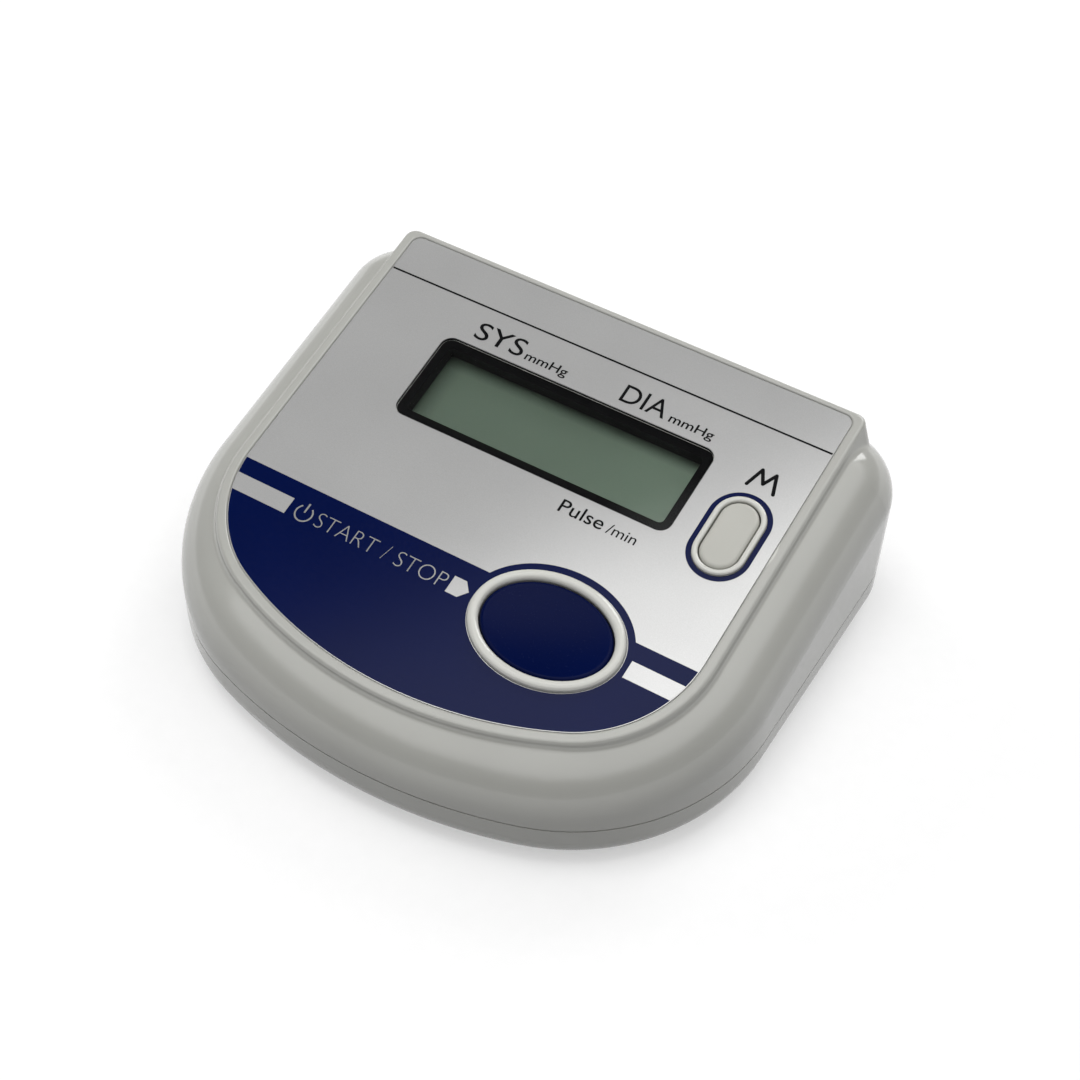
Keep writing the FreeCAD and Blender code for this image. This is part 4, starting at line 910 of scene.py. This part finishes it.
class MONITOR_OT_lettering(Operator):
    """Prints the plain words and units that say what the display and buttons are for

    Words are flat letters stretched between two ends; the memory button's letter is four strokes
    """

    bl_idname = "monitor.lettering"
    bl_label = "Lettering"

    def execute(self, context):
        p = context.scene.monitor_print
        black = black_ink(context.scene.monitor_colours)
        dim = dim_film(context.scene.monitor_colours)
        # Piece, words, left end, right end, base line, height of a capital, all in millimetres,
        # and the thickening of the letter
        words = (
            ("words_systolic", "SYS", -23.8, -13.6, -15.6, 3.8, 0.002),
            ("words_systolic_unit", "mmHg", -12.8, -4.0, -15.6, 1.85, 0.011),
            ("words_diastolic", "DIA", 7.05, 16.1, -15.6, 3.8, 0.002),
            ("words_diastolic_unit", "mmHg", 17.1, 25.9, -15.6, 1.85, 0.011),
            ("words_pulse", "Pulse", 9.2, 17.9, -40.8, 2.65, 0.006),
            ("words_pulse_unit", "/min", 18.8, 24.5, -40.8, 2.05, 0.002),
            ("words_start", "START / STOP", -27.1, -0.15, -63.4, 2.9, -0.022),
        )
        for name, text, left, right, base, capital, thicken in words:
            on_field = name == "words_start"
            height = p.ink_height * (2 if on_field else 1)
            mesh = self.word_mesh(name, text, left, right, base, capital, thicken, height)
            add_piece(name, mesh, dim if on_field else black)
        corners = np.array(LETTER_CORNERS) * MM
        for number, (start, end) in enumerate(zip(corners[:-1], corners[1:])):
            x, v = self.round_stroke(start, end, LETTER_STROKE)
            film("letter_memory_%d" % (number + 1), black,
                 on_panel(x, v, p.ink_height + number * LETTER_LAYER))
        return {"FINISHED"}

    def round_stroke(self, start, end, width):
        """Stroke between two points with half circles at its ends, as places across and up."""
        turn = np.linspace(STROKE_START, np.pi / 2, STROKE_POINTS)
        length = np.hypot(*(end - start))
        along = np.concatenate([-width / 2 * np.cos(turn), length + width / 2 * np.cos(turn[::-1])])
        half = np.concatenate([width / 2 * np.sin(turn), width / 2 * np.sin(turn[::-1])])
        way = (end - start) / length
        sideways = np.array([-way[1], way[0]])
        edge = np.array([1.0, -1.0])
        points = (start + along[None, :, None] * way
                  + (edge[:, None] * half)[..., None] * sideways)
        return points[..., 0], points[..., 1]

    def word_mesh(self, name, text, left, right, base, capital, thicken, height):
        """Flat letters, stretched from end to end and to a capital's height, laid on the panel."""
        mesh = self.flat_letters(name, text, thicken)
        sample = self.flat_letters(name + "_sample", "H", thicken)
        flat = mesh_points(mesh)
        tall = mesh_points(sample)[:, 1]
        foot, head = tall.min(), tall.max()
        wide = flat[:, 0].max() - flat[:, 0].min()
        x = (left + (flat[:, 0] - flat[:, 0].min()) * (right - left) / wide) * MM
        v = (base + (flat[:, 1] - foot) * capital / (head - foot)) * MM
        mesh.vertices.foreach_set("co", on_panel(x, v, height).ravel())
        mesh.name = name
        mesh.materials.clear()
        mesh.update()
        bpy.data.meshes.remove(sample)
        return mesh

    def flat_letters(self, name, text, thicken):
        """Mesh of a text in the built-in letter, thickened or thinned by an offset."""
        curve = bpy.data.curves.new(name + "_curve", "FONT")
        curve.body = text
        curve.offset = thicken
        curve.resolution_u = LETTER_STEPS
        writer = bpy.data.objects.new(name + "_writer", curve)
        bpy.context.scene.collection.objects.link(writer)
        graph = bpy.context.evaluated_depsgraph_get()
        mesh = bpy.data.meshes.new_from_object(writer.evaluated_get(graph))
        bpy.data.objects.remove(writer)
        bpy.data.curves.remove(curve)
        return mesh


class MONITOR_OT_stage(Operator):
    """Sets the floor, the lamps, the room's light and the camera"""

    bl_idname = "monitor.stage"
    bl_label = "Stage"

    def execute(self, context):
        scene = context.scene
        s = scene.monitor_stage
        scene.view_settings.view_transform = "Standard"
        self.lay_floor(scene, s)
        self.light_room(scene, s)
        # Name, power, size, place, target, and whether the lamp is seen in reflections; the top and
        # left lamps aren't, so that they don't whiten the label
        lamps = (
            ("lamp_top", s.top_power, 0.36, (-0.06, -0.08, 0.90), (0.0, 0.0, 0.0), False),
            ("lamp_left", s.side_power, 0.50, (-0.80, 0.10, 0.40), (0.0, 0.0, 0.02), False),
            ("lamp_back", s.back_power, 0.50, (0.12, 0.84, 0.62), (0.0, 0.0, 0.02), True),
        )
        for lamp in lamps:
            self.hang_lamp(scene, *lamp)
        self.place_camera(scene, s)
        return {"FINISHED"}

    def lay_floor(self, scene, s):
        """Round floor, open from below, whose covered part lights the underside a little.

        Its points lie on rings at shares of the case's base outline, and on a far circle. Along a
        ray, the outline's radius is the least, over all directions, of the base's reach that way
        over the cosine between.
        """
        turn = np.linspace(0, 2 * np.pi, FLOOR_COLUMNS, endpoint=False)
        ray = np.stack([np.cos(turn), np.sin(turn)])
        base = node_points("lower_case")
        base = base[base[:, 2] < base[:, 2].min() + FLOOR_BASE][:, :2]
        outline = ((base @ ray).max(axis=0) / np.maximum(ray.T @ ray, LEAST_COSINE)).min(axis=1)
        radius = np.stack([share * outline for share in FLOOR_RINGS]
                          + [np.full(FLOOR_COLUMNS, FLOOR_RADIUS)])
        points = np.stack([radius * ray[0], radius * ray[1], np.zeros_like(radius)], axis=-1)
        faces = grid_faces(len(radius), FLOOR_COLUMNS, True)[:, ::-1]
        mesh = bpy.data.meshes.new("floor")
        mesh.from_pydata(points.reshape(-1, 3).tolist(), [], faces.tolist())
        covered = mesh.attributes.new("covered", "FLOAT", "POINT")
        covered.data.foreach_set("value", np.repeat(FLOOR_COVERED, FLOOR_COLUMNS))
        mesh.materials.append(floor_paper("floor_paper", s))
        floor = bpy.data.objects.new("floor", mesh)
        scene.collection.objects.link(floor)

    def light_room(self, scene, s):
        """Soft room: white where it meets the floor, dim above, and a lit ceiling at the right."""
        world = bpy.data.worlds.new("soft_room")
        world.use_nodes = True
        tree = world.node_tree
        tree.nodes.clear()
        output = tree.nodes.new("ShaderNodeOutputWorld")
        glow = tree.nodes.new("ShaderNodeBackground")
        tree.links.new(glow.outputs["Background"], output.inputs["Surface"])
        way = tree.nodes.new("ShaderNodeTexCoord").outputs["Generated"]
        rise = axes_of(tree, way)["Z"]
        walls = tones(tree, spread(tree, rise, 0.0, 1.0, *WALL_SPAN),
                      (s.horizon,) * 3, (s.room,) * 3)
        low = tones(tree, spread(tree, rise, 0.0, 1.0, *WHITE_SPAN), ROOM_WHITE, walls)
        across = measured(tree, "DOT_PRODUCT", way, LIT_WAY)
        lit = calculated(tree, "MULTIPLY", spread(tree, across, 0.0, 1.0, *LIT_EDGE),
                         spread(tree, rise, 0.0, 1.0, *LIT_RISE))
        tree.links.new(tones(tree, lit, low, (s.ceiling,) * 3), glow.inputs["Color"])
        scene.world = world

    def hang_lamp(self, scene, name, power, size, place, target, mirrored):
        """Square soft lamp turned to a target."""
        lamp = bpy.data.lights.new(name, "AREA")
        lamp.energy = power
        lamp.size = size
        holder = bpy.data.objects.new(name, lamp)
        holder.location = place
        way = Vector(target) - Vector(place)
        holder.rotation_euler = way.to_track_quat("-Z", "Y").to_euler()
        holder.visible_glossy = mirrored
        scene.collection.objects.link(holder)

    def place_camera(self, scene, s):
        """Camera above the front right, looking down at the panel."""
        camera = bpy.data.cameras.new("camera")
        camera.lens = s.lens
        camera.sensor_width = SENSOR_WIDTH
        camera.sensor_fit = "HORIZONTAL"
        camera.clip_start = NEAREST
        holder = bpy.data.objects.new("camera", camera)
        rows = (Vector(CAMERA_RIGHT), -Vector(CAMERA_DOWN), -Vector(CAMERA_FORWARD))
        turn = Matrix(rows).transposed().to_4x4()
        holder.matrix_world = Matrix.Translation(CAMERA_PLACE) @ turn
        scene.collection.objects.link(holder)
        scene.camera = holder


OPERATORS = (MONITOR_OT_case, MONITOR_OT_display, MONITOR_OT_inside, MONITOR_OT_dark_field,
             MONITOR_OT_bright_marks, MONITOR_OT_print_lines, MONITOR_OT_lettering,
             MONITOR_OT_stage)


class MONITOR_PT_dressing(Panel):
    """Lists the steps that dress the monitor"""

    bl_idname = "MONITOR_PT_dressing"
    bl_label = "Monitor"
    bl_space_type = "VIEW_3D"
    bl_region_type = "UI"
    bl_category = "Monitor"

    def draw(self, context):
        scene = context.scene
        for operator in OPERATORS:
            self.layout.operator(operator.bl_idname)
        for group in (scene.monitor_print, scene.monitor_colours, scene.monitor_stage):
            for name in group.__annotations__:
                self.layout.prop(group, name)


CLASSES = (MonitorPrint, MonitorColours, MonitorStage) + OPERATORS + (MONITOR_PT_dressing,)


def register():
    for item in CLASSES:
        bpy.utils.register_class(item)
    bpy.types.Scene.monitor_print = PointerProperty(type=MonitorPrint)
    bpy.types.Scene.monitor_colours = PointerProperty(type=MonitorColours)
    bpy.types.Scene.monitor_stage = PointerProperty(type=MonitorStage)


def unregister():
    del bpy.types.Scene.monitor_stage
    del bpy.types.Scene.monitor_colours
    del bpy.types.Scene.monitor_print
    for item in reversed(CLASSES):
        bpy.utils.unregister_class(item)


def main():
    register()
    bpy.ops.monitor.case()
    bpy.ops.monitor.display()
    bpy.ops.monitor.inside()
    bpy.ops.monitor.dark_field()
    bpy.ops.monitor.bright_marks()
    bpy.ops.monitor.print_lines()
    bpy.ops.monitor.lettering()
    bpy.ops.monitor.stage()


if __name__ == "__main__":
    main()
